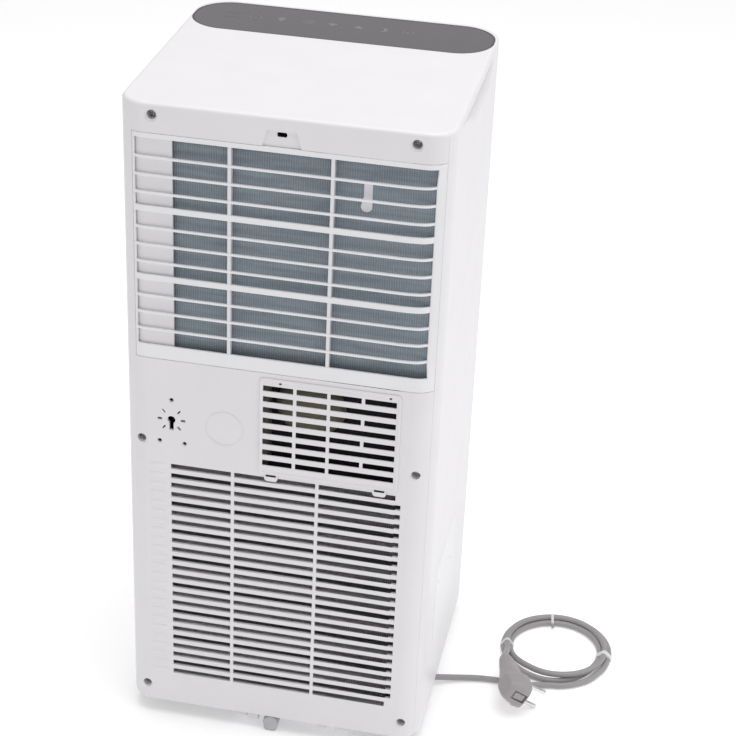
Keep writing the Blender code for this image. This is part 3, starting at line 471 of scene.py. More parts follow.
def soften(thing, width, segments=2):
    """Rounds the sharp edges and keeps the flats flat."""
    edge = thing.modifiers.new("soft edge", "BEVEL")
    edge.width = width
    edge.segments = segments
    edge.limit_method = "ANGLE"
    edge.angle_limit = math.radians(50)
    return even_normals(thing)


def columns(low, high, ribs):
    """The spans of a row of slots between its ends and the ribs that cross it."""
    edges = [low] + [e for rib in sorted(ribs) for e in (rib - RIB / 2, rib + RIB / 2)] + [high]
    return list(zip(edges[::2], edges[1::2]))


def row_spans(rows, pitch, first, height):
    """Bottom and top of each row of slots."""
    return [(first + row * pitch, first + row * pitch + height) for row in range(rows)]


def row_at(z, spans):
    """The row of slots that a height lies in, or None between rows."""
    return next((row for row, (low, high) in enumerate(spans) if low < z < high), None)


GRILLE_SPANS = row_spans(GRILLE_ROWS, GRILLE_PITCH, GRILLE_FIRST, GRILLE_SLOT)
EXHAUST_SPANS = row_spans(EXHAUST_ROWS, EXHAUST_PITCH, EXHAUST_FIRST, EXHAUST_SLOT)


def plate(xs, zs, is_open, place):
    """A sheet on a grid of lines, with no face wherever is_open says so for a cell's middle."""
    mesh = bmesh.new()
    verts = {}

    def vert(x, z):
        if (x, z) not in verts:
            verts[x, z] = mesh.verts.new(place(x, z))
        return verts[x, z]

    for left, right in zip(xs, xs[1:]):
        for low, high in zip(zs, zs[1:]):
            if not is_open((left + right) / 2, (low + high) / 2):
                mesh.faces.new((vert(left, low), vert(left, high), vert(right, high), vert(right, low)))
    return mesh


def thicken(thing, thickness, edge, segments=2):
    """Gives a sheet its thickness inwards, and rounds its edges."""
    wall = thing.modifiers.new("wall", "SOLIDIFY")
    wall.thickness = thickness
    wall.offset = -1
    soften(thing, edge, segments)
    return even_normals(settle(thing))


# The rear outline, which runs round the two rear corners


def along(x):
    """How far along the rear outline a point x is from the middle."""
    over = max(0.0, abs(x) - REAR_FLAT)
    return math.copysign(min(abs(x), REAR_FLAT) + REAR_RADIUS * math.asin(over / REAR_RADIUS), x)


def rear_spot(distance, inset=0.0):
    """The (x, y) of a place along the rear outline, set in from it."""
    angle = max(0.0, abs(distance) - REAR_FLAT) / REAR_RADIUS
    radius = REAR_RADIUS - inset
    x = min(abs(distance), REAR_FLAT) + radius * math.sin(angle)
    return math.copysign(x, distance), REAR - REAR_RADIUS + radius * math.cos(angle)


PANEL_EDGE = REAR_FLAT + REAR_RADIUS * math.acos((REAR_SEAM - REAR + REAR_RADIUS) / REAR_RADIUS)


def stations(start, end):
    """Places along the rear outline from start to end, close together round the corners."""
    bends = [REAR_FLAT + REAR_RADIUS * math.radians(4 * i) for i in range(14)]
    marks = {start, end, *bends, *[-bend for bend in bends]}
    return sorted(mark for mark in marks if start <= mark <= end)


def nose(depth, bottom, top, radius):
    """A bar's section as (inset, z): square at the back, round at its two front edges."""
    low = arc((radius, bottom + radius), radius, 270, 180, 3)
    high = arc((radius, top - radius), radius, 180, 90, 3)
    return [(depth, bottom), *low, *high, (depth, top)]


def sweep_rear(mesh, start, end, section):
    return loft(mesh, [[(*rear_spot(d, inset), z) for inset, z in section] for d in stations(start, end)])


# Shells


def body_shell():
    """Front, sides and top in one run: down the outside, round the lower edge and up the inside."""
    fillet = arc((TOP_FILLET, HEIGHT - TOP_FILLET), TOP_FILLET, 90, 180, 6)
    profile = fillet + [(0, SKIRT + 0.0008), (0.0008, SKIRT), (WALL, SKIRT), (WALL, HEIGHT - WALL)]
    solid = loft(bmesh.new(), rings_of(body_outline, profile))
    shell = piece("body_shell", solid, "white_shell", stands_for=["front_shell", "top_cover"])
    rear = box(bmesh.new(), (-1, REAR_SEAM - GAP, -1), (1, 1, CAP_SEAM))
    outlet = box(bmesh.new(), (-OUTLET_X, -1, OUTLET_Z[0]), (OUTLET_X, FRONT + 0.05, OUTLET_Z[1]))
    recess = prism(bmesh.new(), panel_outline(0), HEIGHT - PANEL_DEPTH, 1)
    (back, front), (low, high) = GRIP_WINDOW
    grips = [box(bmesh.new(), (side * 0.155 - 0.007, back, low), (side * 0.155 + 0.007, front, high))
             for side in (1, -1)]
    cut(shell, rear, outlet, recess, *grips)


def smooth(share):
    share = min(1.0, max(0.0, share))
    return share * share * (3 - 2 * share)


def grip_foot(y):
    """Height of the grip's lower edge: level in the middle, rising to the roof at both ends."""
    rise = smooth((y - 0.008) / 0.096) + smooth((-0.062 - y) / 0.022)
    return GRIP_FOOT + (GRIP_ROOF - GRIP_FOOT) * min(1.0, rise)


def grip_column(side, y):
    """One upright line of the pocket's skin: up the wall, in along the scoop, out under the roof."""
    (low, high), foot = GRIP_WINDOW[1], grip_foot(y)
    depth = GRIP_DEPTH * (GRIP_ROOF - foot) / (GRIP_ROOF - GRIP_FOOT)
    points = [(0, low), (0, (low + foot) / 2)]
    for i in range(13):
        share = i / 12
        inwards = depth * (1 - math.cos(share * math.pi / 2)) ** 0.9
        points.append((inwards, foot + (GRIP_ROOF - foot) * share))
    lip = min(0.0012, depth)
    points += [(depth * 0.6 + lip * 0.4, GRIP_ROOF), (lip, GRIP_ROOF), (0, GRIP_ROOF + 0.0010), (0, high)]
    return [(side * (SIDE - inset), y, z) for inset, z in points]


def grip(side, name):
    (back, front), _ = GRIP_WINDOW
    count = 56
    mesh = bmesh.new()
    rows = []
    for i in range(count + 1):
        line = grip_column(side, back + (front - back) * i / count)
        rows.append([mesh.verts.new(point) for point in line])
    for before, after in zip(rows, rows[1:]):
        for i in range(len(before) - 1):
            mesh.faces.new((before[i], after[i], after[i + 1], before[i + 1]))
    bmesh.ops.recalc_face_normals(mesh, faces=mesh.faces)
    if sum(face.normal.x * side for face in mesh.faces) < 0:
        bmesh.ops.reverse_faces(mesh, faces=mesh.faces)
    piece(name, mesh, "white_shell", sharp=60)


def panel_outline(inset):
    low, high = [side + inset for side in PANEL_LOW], [side - inset for side in PANEL_HIGH]
    return round_box(low, high, [PANEL_RADIUS - inset] * 4, 20)


def control_panel():
    """A dark gloss panel with a slightly darker rim round its edge."""
    top = HEIGHT - 0.0003
    edge = [(GAP, top - 0.0012), (GAP, top - 0.0004), (0.0006, top), (0.0020, top), (0.0020, top - 0.0012)]
    piece("panel_rim", loft(bmesh.new(), rings_of(panel_outline, edge), True), "panel_rim")
    face = [(0.0018, top - 0.0012), (0.0018, top - 0.0002), (0.0022, top), (0.0026, top)]
    solid = loft(bmesh.new(), rings_of(panel_outline, face))
    piece("panel_face", solid, "panel_gloss", stands_for=["control_panel"])


def ring_icon(mesh, x):
    """A flat ring on the panel."""
    inner = ICON_SIZE - RING_WIDTH
    profile = [(inner, 0), (ICON_SIZE, 0), (ICON_SIZE, PRINT), (inner, PRINT)]
    turned(mesh, profile, (x, ICON_ROW, HEIGHT - GAP), ring=True)


def flat_icon(mesh, x, outline):
    """A flat shape on the panel, from its outline in units of the icons' size."""
    points = [(x + a * ICON_SIZE, ICON_ROW + b * ICON_SIZE) for a, b in outline]
    prism(mesh, points, HEIGHT - GAP, HEIGHT - GAP + PRINT)


def bar(left, right, low, high):
    return [(left, low), (right, low), (right, high), (left, high)]


def panel_icons():
    """A display window and seven plain signs: power, drop, breeze, up, down, night and timer."""
    power, drop, breeze, up, down, night, timer = ICONS
    mesh = bmesh.new()
    rings = []
    for grow, level in ((-0.0005, 0), (0, 0), (0, PRINT), (-0.0005, PRINT)):
        low = (DISPLAY_X[0] - grow, ICON_ROW - DISPLAY_HALF - grow)
        high = (DISPLAY_X[1] + grow, ICON_ROW + DISPLAY_HALF + grow)
        rings.append([(x, y, HEIGHT - GAP + level) for x, y in round_box(low, high, [0.002 + grow] * 4, 4)])
    loft(mesh, rings, True)
    ring_icon(mesh, power)
    flat_icon(mesh, power, bar(-0.16, 0.16, 0.30, 1.35))
    flat_icon(mesh, drop, arc((0, -0.25), 0.72, 200, 340, 10) + [(0, 1.2)])
    for row in (-1, 0, 1):
        flat_icon(mesh, breeze, bar(-1.05, 1.05 - 0.35 * abs(row), row * 0.62 - 0.15, row * 0.62 + 0.15))
    flat_icon(mesh, up, [(-0.95, -0.65), (0.95, -0.65), (0, 0.90)])
    flat_icon(mesh, down, [(0, -0.90), (0.95, 0.65), (-0.95, 0.65)])
    flat_icon(mesh, night, arc((0, 0), 1.0, 60, 300, 14) + arc((0.5, 0), 0.866, 255, 105, 10))
    ring_icon(mesh, timer)
    flat_icon(mesh, timer, bar(-0.12, 0.12, 0, 0.68))
    flat_icon(mesh, timer, bar(0.12, 0.55, -0.12, 0.12))
    piece("panel_icons", mesh, "print")


def blank_label():
    """The plain label on the -X side, with nothing on it."""
    outline = round_box((LABEL_Y[0], LABEL_Z[0]), (LABEL_Y[1], LABEL_Z[1]), [0.003] * 4, 5)
    label = piece("blank_label", prism(bmesh.new(), outline, -SIDE - 0.00018, -SIDE + 0.0004, "X"), "label")
    soften(label, 0.00008, 1)


# Rear panel


def in_slot(x, z):
    row = row_at(z, GRILLE_SPANS)
    if row is None:
        return False
    spans = columns(max(GRILLE_X[0], GRILLE_SHORT.get(row, -SIDE)), GRILLE_X[1], GRILLE_RIBS)
    return any(low < x < high for low, high in spans)


def in_rear_opening(x, z):
    filter_gap = x < along(FILTER_SIDE + GAP) and FILTER_BOTTOM - GAP < z < FILTER_TOP + GAP
    exhaust_x = EXHAUST_X[0] + EXHAUST_RIM < x < EXHAUST_X[1] - EXHAUST_RIM
    exhaust_z = EXHAUST_Z[0] + EXHAUST_RIM < z < EXHAUST_Z[1] - EXHAUST_RIM
    return filter_gap or (exhaust_x and exhaust_z) or in_slot(x, z)


def rear_grid():
    """The grid's lines along the outline and up it, at the edges of every opening."""
    xs = set(stations(-PANEL_EDGE, PANEL_EDGE)) | {along(FILTER_SIDE + GAP)}
    xs |= {EXHAUST_X[0] + EXHAUST_RIM, EXHAUST_X[1] - EXHAUST_RIM}
    xs |= {edge for span in columns(*GRILLE_X, GRILLE_RIBS) for edge in span} | set(GRILLE_SHORT.values())
    zs = {SKIRT, CAP_SEAM + 0.0005, FILTER_BOTTOM - GAP, FILTER_TOP + GAP}
    zs |= {EXHAUST_Z[0] + EXHAUST_RIM, EXHAUST_Z[1] - EXHAUST_RIM}
    zs |= {z for span in GRILLE_SPANS for z in span}
    return sorted(xs), sorted(zs)


def keyhole_cutters():
    (x, z), (half, drop) = KEYHOLE, KEYHOLE_SLOT
    behind, outside = REAR - 0.01, REAR + 0.01
    profile = [(KEYHOLE_RADIUS, 0), (KEYHOLE_RADIUS, 0.02)]
    cutters = [turned(bmesh.new(), profile, (x, behind, z), (0, 1, 0))]
    cutters.append(box(bmesh.new(), (x - half, behind, z - drop), (x + half, outside, z)))
    for angle, share in VENTS.items():
        reach, half = VENT_REACH, VENT_HALF * share
        vent = round_box((reach[0], -half), (reach[1], half), [0.0006] * 4, 3)
        turn = Matrix.Rotation(math.radians(angle), 2)
        outline = [turn @ Vector(point) for point in vent]
        cutters.append(prism(bmesh.new(), [(x - a, z + b) for a, b in outline], behind, outside, "Y"))
    for across, up in KEYHOLE_SCREWS:
        profile = [(0.0020, 0), (0.0020, 0.0092), (0.0029, 0.0102), (0.0029, 0.02)]
        cutters.append(turned(bmesh.new(), profile, (x + across, behind, z + up), (0, 1, 0), 20))
    return cutters


def rear_panel():
    xs, zs = rear_grid()
    sheet = plate(xs, zs, in_rear_opening, lambda d, z: (*rear_spot(d), z))
    panel = piece("rear_panel_shell", sheet, "white_shell", stands_for=["rear_panel"])
    thicken(panel, WALL, 0.0005)
    holes = []
    for x, z in SCREWS:
        profile = [(SCREW_HOLE, 0), (SCREW_HOLE, 0.0130), (0.0075, 0.0165), (0.0075, 0.02)]
        holes.append(turned(bmesh.new(), profile, (x, REAR - 0.015, z), (0, 1, 0)))
    inner, outer = KNOCKOUT_GROOVE
    groove = [(inner, 0), (outer, 0), (outer + 0.0016, 0.0010), (inner - 0.0016, 0.0010)]
    place = (KNOCKOUT[0], REAR - 0.0006, KNOCKOUT[1])
    holes.append(turned(bmesh.new(), groove, place, (0, 1, 0), 64, True))
    holes.append(prism(bmesh.new(), LATCH, REAR - 0.002, REAR + 0.01, "Y"))
    latch_hole = round_box(*LATCH_HOLE, [0.0016] * 4, 4)
    holes.append(prism(bmesh.new(), latch_hole, REAR - 0.01, REAR - 0.001, "Y"))
    cut(panel, *holes, *keyhole_cutters())


def blind_ribs():
    """Shallow raised ribs on the panel's +X edge, one beside each slot of the grille."""
    mesh = bmesh.new()
    for span in GRILLE_SPANS:
        profile = [(0, REAR - 0.0005), (0, REAR + 0.0001), (0.0006, REAR + 0.0004)]
        loft(mesh, upright_rings(BLIND_RIB_X, span, 0.0022, profile, 4))
    piece("blind_ribs", mesh, "white_shell")


def screws():
    """A deep cup for each screw, and a cross-headed screw at its foot."""
    cups = bmesh.new()
    cup = [(0.0001, -0.0125), (0.0062, -0.0125), (0.0062, -0.0035), (0.0045, -0.0035), (0.0045, -0.0095),
           (0.0001, -0.0095)]
    for x, z in SCREWS:
        turned(cups, cup, (x, REAR, z), (0, 1, 0))
    piece("screw_cups", cups, "white_shell")
    head = [(0.0016, -0.0034), (0.0016, 0), (0.0037, 0), (0.0037, 0.0010), (0.0033, 0.0019),
            (0.0022, 0.0026), (0.0008, 0.0029)]
    for i, (x, z) in enumerate(SCREWS):
        place = (x, REAR - SCREW_SEAT + GAP, z)
        solid = turned(bmesh.new(), head, place, (0, 1, 0), 24)
        screw = piece(f"cross_screw_{i + 1}", solid, "screw_steel", stands_for=[f"rear_screw_{i + 1}"])
        low, high = place[1] + 0.0012, place[1] + 0.01
        cross = [box(bmesh.new(), (x - a, low, z - b), (x + a, high, z + b))
                 for a, b in ((0.0020, 0.0004), (0.0004, 0.0020))]
        cut(screw, *cross)


# Filter frame


def slat_spans():
    """Bottom and top of each slat. Two of them stand taller, upwards."""
    spans = []
    for row in range(FILTER_ROWS - 1):
        top = FILTER_FIRST + (row + 1) * FILTER_PITCH
        spans.append((top - FILTER_SLAT, top + (FILTER_TALLER if row in FILTER_THICK else 0)))
    return spans


def slat_dip(distance, z):
    """How far the slats sink as they near the corner on the -X side."""
    start, deepest, edge = along(DIP_START), along(FILTER_OPEN[0]), -PANEL_EDGE
    if not FILTER_FIRST < z < FILTER_FIRST + FILTER_ROWS * FILTER_PITCH or distance > start:
        return 0
    if distance < deepest:
        return SLAT_DIP * (distance - edge) / (deepest - edge)
    return SLAT_DIP * ((start - distance) / (start - deepest)) ** 1.6


def filter_frame():
    """The frame and its slats, which run round the corner, then the ribs and blank column behind them."""
    left, right = -PANEL_EDGE, along(FILTER_SIDE)
    open_left, open_right = along(FILTER_OPEN[0]), along(FILTER_OPEN[1])
    rim_low = FILTER_FIRST + FILTER_ROWS * FILTER_PITCH
    slats = slat_spans()

    def is_open(x, z):
        inside = open_left < x < open_right and FILTER_FIRST < z < rim_low
        return inside and not any(low < z < high for low, high in slats)

    start = along(DIP_START)
    bend = [start + (open_left - start) * i / 8 for i in range(8)]
    xs = sorted({*stations(left, right), *bend, open_left, open_right})
    zs = sorted({FILTER_BOTTOM, FILTER_FIRST, rim_low, FILTER_TOP, *[z for slat in slats for z in slat]})
    sheet = plate(xs, zs, is_open, lambda d, z: (*rear_spot(d, slat_dip(d, z)), z))
    # The frame's white is painted lighter than the shell's, for the light that the slats catch.
    frame = piece("filter_grid", sheet, "frame_white_painted_light", "filter", ["filter_frame"])
    thicken(frame, SLAT_DEPTH, 0.0007, 3)
    cut(frame, box(bmesh.new(), (-1, -1, -1), (1, REAR_SEAM, 1)))  # trims what the dip tilts past the seam
    mesh = bmesh.new()
    for rib in FILTER_RIBS:
        section = nose(0.0060, FILTER_BOTTOM + 0.001, FILTER_TOP - 0.001, 0.0008)
        section = [(inset + RIB_INSET, z) for inset, z in section]
        sweep_rear(mesh, rib - RIB / 2, rib + RIB / 2, section)
    blank = nose(0.002, FILTER_BOTTOM + 0.002, FILTER_TOP - 0.002, 0.0005)
    blank = [(inset + BLANK_DEPTH, z) for inset, z in blank]
    sweep_rear(mesh, BLANK_X[0], along(BLANK_X[1]), blank)
    soften(piece("filter_ribs", mesh, "white_shell", "filter"), 0.0004)


def filter_tab():
    """The pull tab on the screen: a strip with a round foot."""
    left, right, (low, high) = PULL_X - PULL_HALF, PULL_X + PULL_HALF, PULL_Z
    foot = arc((PULL_X + 0.0012, low + PULL_FOOT), PULL_FOOT, 180, 360, 12)
    outline = [(left, high), (left, low + 0.0100), *foot, (right, low + 0.0150), (right, high)]
    tab = prism(bmesh.new(), outline, *PULL_Y, "Y")
    soften(piece("filter_tab", tab, "tie", "filter"), 0.0004)


# Exhaust outlet


def in_exhaust_slot(x, z):
    row = row_at(z, EXHAUST_SPANS)
    if row is None:
        beside = any(abs(x - middle) < PIN_HOLE for middle in PIN_HOLES)
        return beside and PIN_HOLE_Z[0] < z < PIN_HOLE_Z[1]
    ribs = EXHAUST_RIBS if row % 2 else EXHAUST_RIBS[:2]
    return any(low < x < high for low, high in columns(*EXHAUST_OPEN, ribs))


def exhaust_bars():
    """The grille's plate: rows of slots, with a small hole at each of its two top corners."""
    xs = {edge for span in columns(*EXHAUST_OPEN, EXHAUST_RIBS) for edge in span}
    edge = EXHAUST_RIM + GAP
    xs |= {EXHAUST_X[0] + edge, EXHAUST_X[1] - edge}
    xs |= {middle + side * PIN_HOLE for middle in PIN_HOLES for side in (1, -1)}
    zs = {EXHAUST_Z[0] + edge, EXHAUST_Z[1] - edge, *PIN_HOLE_Z}
    zs |= {z for span in EXHAUST_SPANS for z in span}
    sheet = plate(sorted(xs), sorted(zs), in_exhaust_slot, lambda x, z: (x, REAR + 0.0008, z))
    bars = piece("exhaust_bars", sheet, "white_shell", "exhaust_cover", ["exhaust_grille"])
    thicken(bars, BAR_THICKNESS, 0.0006, 3)


def exhaust_frame():
    """The raised frame round the bars, with two rounded tabs at its foot."""
    mesh = bmesh.new()
    profile = [(0, REAR + GAP), (0, REAR + 0.0008), (0.0007, REAR + LIP), (0.0024, REAR + LIP),
               (0.0034, REAR + 0.0007), (0.0034, REAR + GAP)]
    loft(mesh, upright_rings(EXHAUST_X, EXHAUST_Z, 0.0045, profile, 6), True)
    for x in EXHAUST_TABS:
        low = (x - TAB_WIDTH / 2, EXHAUST_Z[0] - TAB_HEIGHT)
        high = (x + TAB_WIDTH / 2, EXHAUST_Z[0] + 0.0005)
        outline = round_box(low, high, [0.0004, 0.0004, 0.003, 0.003], 6)
        prism(mesh, outline, REAR + GAP, REAR + LIP - 0.0001, "Y")
    soften(piece("exhaust_frame", mesh, "white_shell", "exhaust_cover"), 0.0003)
    # Near-black strips on the tabs' faces: painted shade for the slit above each tab, which is not cut.
    mesh = bmesh.new()
    for x in EXHAUST_TABS:
        low = (x - TAB_WIDTH / 2 + 0.0015, REAR + 0.001, EXHAUST_Z[0] - 0.0019)
        box(mesh, low, (x + TAB_WIDTH / 2 - 0.0015, REAR + LIP, EXHAUST_Z[0] + 0.0002))
    piece("tab_slit_shade", mesh, "painted_shade_black", "exhaust_cover")


def exhaust_depths():
    """A near-black sleeve in the duct's mouth, painted shade for the dark inside of the duct, and the beige
    vane that turns the air towards it.
    """
    mesh = bmesh.new()
    xs = (EXHAUST_X[0] + 0.0025, EXHAUST_X[1] + 0.0060)
    zs = (EXHAUST_Z[0] + 0.0010, EXHAUST_Z[1] - 0.0040)
    back, mouth = DUCT_Y
    outer = upright_rings(xs, zs, 0.004, [(0, back), (0, mouth)], 4)
    inner = upright_rings(xs, zs, 0.0035 + DUCT_WALL, [(DUCT_WALL, mouth), (DUCT_WALL, back + 0.001)], 4)
    loft(mesh, outer + inner)
    # Painted shade: a near-black sleeve where the duct is only dark from shade.
    piece("duct_shade_sleeve", mesh, "painted_shade_black")
    mesh = bmesh.new()
    rings = []
    for y, share in VANE_STEPS:
        ring = arc((0, 0), VANE_RADIUS * share, 0, 345, 23)
        rings.append([(x * VANE_STRETCH + VANE[0], y, z + VANE[1]) for x, z in ring])
    piece("duct_vane", loft(mesh, rings), "duct_beige")


# Front


def louver():
    """The flap over the air outlet: a slightly crowned blade, and its hinge pin."""
    low, high = OUTLET_Z[0] + 0.0015, OUTLET_Z[1] - 0.0015
    shares = [i / 12 for i in range(13)]
    outer = [(FRONT - LIP * math.sin(math.pi * (0.12 + 0.76 * share)), low + (high - low) * share)
             for share in shares]
    section = outer + [(FRONT + 0.0020, high - 0.0004), (FRONT + 0.0020, low + 0.0004)]
    mesh = prism(bmesh.new(), section, -OUTLET_X + 0.0015, OUTLET_X - 0.0015, "X")
    flap = piece("louver_flap", mesh, "white_shell", "louver", ["outlet_louver"])
    soften(flap, 0.0005)
    pin = [(0.0022, 0), (0.0022, 2 * LOUVER_PIN)]
    hinge = (-LOUVER_PIN, FRONT + 0.0012, low + 0.0025)
    piece("louver_pin", turned(bmesh.new(), pin, hinge, (1, 0, 0), 16), "white_shell", "louver")


# Heat exchangers


def fin_block(name, node, look, tubes, reach=0.0):
    """Thin upright fins, with copper hairpins that stand out of both sides."""
    low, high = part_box(node)
    low, high = Vector((low.x + 0.007, low.y, low.z)), Vector((high.x - 0.007, high.y + reach, high.z))
    mesh = bmesh.new()
    for i in range(int((high.x - low.x) / FIN_PITCH)):
        x = low.x + i * FIN_PITCH
        box(mesh, (x, low.y, low.z), (x + FIN_THICKNESS, high.y, high.z))
    piece(f"{name}_fins", mesh, look, stands_for=[node])
    bends = bpy.data.curves.new(f"{name}_hairpins", "CURVE")
    bends.dimensions = "3D"
    bends.bevel_depth = HAIRPIN_RADIUS
    bends.materials.append(LOOKS["copper"])
    step, y = (high.z - low.z) / tubes, (low.y + high.y) / 2
    for i in range(tubes - 1):
        side, edge = (1, high.x) if i % 2 else (-1, low.x)
        z = low.z + step * (i + 0.5)
        turn = arc((0, z + step / 2), step / 2 * 0.99, -90, 90, 10)
        inside = edge - side * 0.004
        bend = [(edge + side * min(a * 0.4, HAIRPIN_REACH), b) for a, b in turn]
        points = [(inside, z), *bend, (inside, z + step)]
        line = bends.splines.new("POLY")
        line.points.add(len(points) - 1)
        for point, (x, height) in zip(line.points, points):
            point.co = (x, y, height, 1)
    thing = add_object(f"{name}_hairpins", bends)
    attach(thing, "cabinet")


# Base and casters


def drain_plug():
    """A soft cap on the spout, with a flat grip that hangs below the edge."""
    mesh = bmesh.new()
    cap = [(0.0050, 0), (0.0080, 0), (0.0080, 0.0128), (0.0074, 0.0141), (0.0062, 0.0145), (0.0002, 0.0145),
           (0.0002, 0.0125), (0.0050, 0.0125)]
    turned(mesh, cap, SPOUT, (0, 1, 0), 32, True)
    low, high = (SPOUT[0] - 0.0066, 0.0004), (SPOUT[0] + 0.0066, SPOUT[2])
    prism(mesh, round_box(low, high, [0.001, 0.001, 0.0035, 0.0035], 6), *DRAIN_GRIP_Y, "Y")
    soften(piece("drain_cap_soft", mesh, "drain_grey", "drain_cap", ["drain_plug"]), 0.0004)


def base_lugs():
    """Short lugs under the rear edge of the base, on both sides of the drain."""
    mesh = bmesh.new()
    for left, right, drop in BASE_LUGS:
        box(mesh, (left, LUG_FRONT, SKIRT - drop), (right, REAR - 0.0008, SKIRT - GAP))
    soften(piece("base_lugs", mesh, "white_tray"), 0.0008)


def caster_fork(number, x, y):
    axle = (x, y + TRAIL, WHEEL_RADIUS)
    half = WHEEL_WIDTH / 2
    low, high = CROWN_Z
    crown = [(0.0085, low), (0.0095, low + 0.001), (0.0095, high - 0.0008), (0.0087, high),
             (STEM_RADIUS, high), (STEM_RADIUS, STEM_TOP - 0.0006), (STEM_RADIUS - 0.0006, STEM_TOP)]
    mesh = turned(bmesh.new(), crown, (x, y, 0), segments=28)
    foot = arc(axle[1:], 0.0046, 200, 340, 10)
    outline = [(y - 0.0075, 0.0352), *foot, (y + 0.0085, 0.0352)]
    for side in (-1, 1):
        inner, outer = x + side * (half + 0.0006), x + side * (half + 0.0024)
        prism(mesh, outline, min(inner, outer), max(inner, outer), "X")
        cap = x + side * (half + 0.0024)
        turned(mesh, [(0.0030, 0), (0.0030, 0.0006), (0.0022, 0.0010)], (cap, *axle[1:]), (side, 0, 0), 16)
    name = f"caster_{number}"
    soften(piece(f"{name}_yoke", mesh, "fork_grey", name, [f"caster_fork_{number}"]), 0.0003)


def caster_wheel(number, x, y):
    """A tyre with two grooves, round a hub with a raised rim."""
    half = WHEEL_WIDTH / 2
    tread = [(WHEEL_RADIUS - 0.0035, 0), (WHEEL_RADIUS - 0.0012, 0.0002), (WHEEL_RADIUS, 0.0015)]
    for middle in (0.0040, 0.0070):
        tread += [(WHEEL_RADIUS, middle - 0.0005), (WHEEL_RADIUS - 0.0005, middle)]
        tread += [(WHEEL_RADIUS, middle + 0.0005)]
    tread += [(WHEEL_RADIUS, WHEEL_WIDTH - 0.0015), (WHEEL_RADIUS - 0.0012, WHEEL_WIDTH - 0.0002)]
    tread += [(WHEEL_RADIUS - 0.0035, WHEEL_WIDTH)]
    rim = WHEEL_RADIUS - 0.0045
    hub = [(rim, WHEEL_WIDTH - 0.0014), (0.0042, WHEEL_WIDTH - 0.0022)]
    hub += [(0.0038, WHEEL_WIDTH), (0.0020, WHEEL_WIDTH)]
    far_hub = [(0.0020, 0), (0.0038, 0), (0.0042, 0.0022), (rim, 0.0014)]
    place = (x - half, y + TRAIL, WHEEL_RADIUS)
    mesh = turned(bmesh.new(), [*far_hub, *tread, *hub], place, (1, 0, 0), 40, True)
    piece(f"wheel_{number}_tyre", mesh, "caster_tyre", f"wheel_{number}", [f"caster_wheel_{number}"])


# Mains lead


def between(table, at):
    """A value that runs smoothly from one entry of a table to the next."""
    for (start, low), (end, high) in zip(table, table[1:]):
        if at <= end:
            return low + (high - low) * smooth((at - start) / (end - start))
    return table[-1][1]


def coil_route():
    """The coil's turns, anticlockwise seen from above."""
    start, end = COIL_TURNS
    points = []
    for i in range(round((end - start) / COIL_STEP) + 1):
        angle = start + COIL_STEP * i
        radius, turn = between(COIL_RADII, angle), math.radians(angle)
        x, y = COIL_CENTRE[0] + radius * math.cos(turn), COIL_CENTRE[1] + radius * math.sin(turn)
        points.append((x, y, between(COIL_HEIGHTS, angle)))
    return points


def mains_lead():
    """One smooth curve from the gland, through the coil, to the plug's boot."""
    data = bpy.data.curves.new("mains_lead", "CURVE")
    data.dimensions = "3D"
    data.bevel_depth = LEAD_DIAMETER / 2
    data.bevel_resolution = 5
    data.resolution_u = 6
    data.use_fill_caps = True
    data.materials.append(LOOKS["lead_grey"])
    points = [*LEAD_ROUTE, *coil_route(), *TAIL_ROUTE]
    line = data.splines.new("BEZIER")
    line.bezier_points.add(len(points) - 1)
    for point, place in zip(line.bezier_points, points):
        point.co = place
        point.handle_left_type = point.handle_right_type = "AUTO"
    thing = add_object("mains_lead", data)
    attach(thing, "cabinet")
    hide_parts("power_cord", "cord_coil", "cord_tail")


def gland():
    """The tapered sleeve where the lead leaves the body, with rings cut round it."""
    profile = [(0.0075, 0), (0.0075, 0.0024), (0.0070, 0.0030), (0.0058, 0.0034)]
    for i in range(6):
        height = 0.0050 + 0.0034 * i
        radius = 0.0057 - 0.00022 * i
        profile += [(radius, height), (radius - 0.0008, height + 0.0003), (radius - 0.0008, height + 0.0013),
                    (radius - 0.0001, height + 0.0016)]
    profile += [(0.0045, GLAND_LENGTH - 0.0004), (0.0040, GLAND_LENGTH)]
    mesh = turned(bmesh.new(), profile, GLAND, (-1, 0, 0))
    return piece("gland_sleeve", mesh, "lead_grey", stands_for=["cord_gland"])


def around(spots, radius, floor):
    """The outline of a band pulled tight round circles of that radius, kept above a floor."""
    hull = []
    for i in range(48):
        angle = math.tau * i / 48
        out = Vector((math.cos(angle), math.sin(angle)))
        far = max(spots, key=lambda spot: out.dot(Vector(spot)))
        a, b = Vector(far) + out * radius
        hull.append((a, max(b, floor)))
    return hull


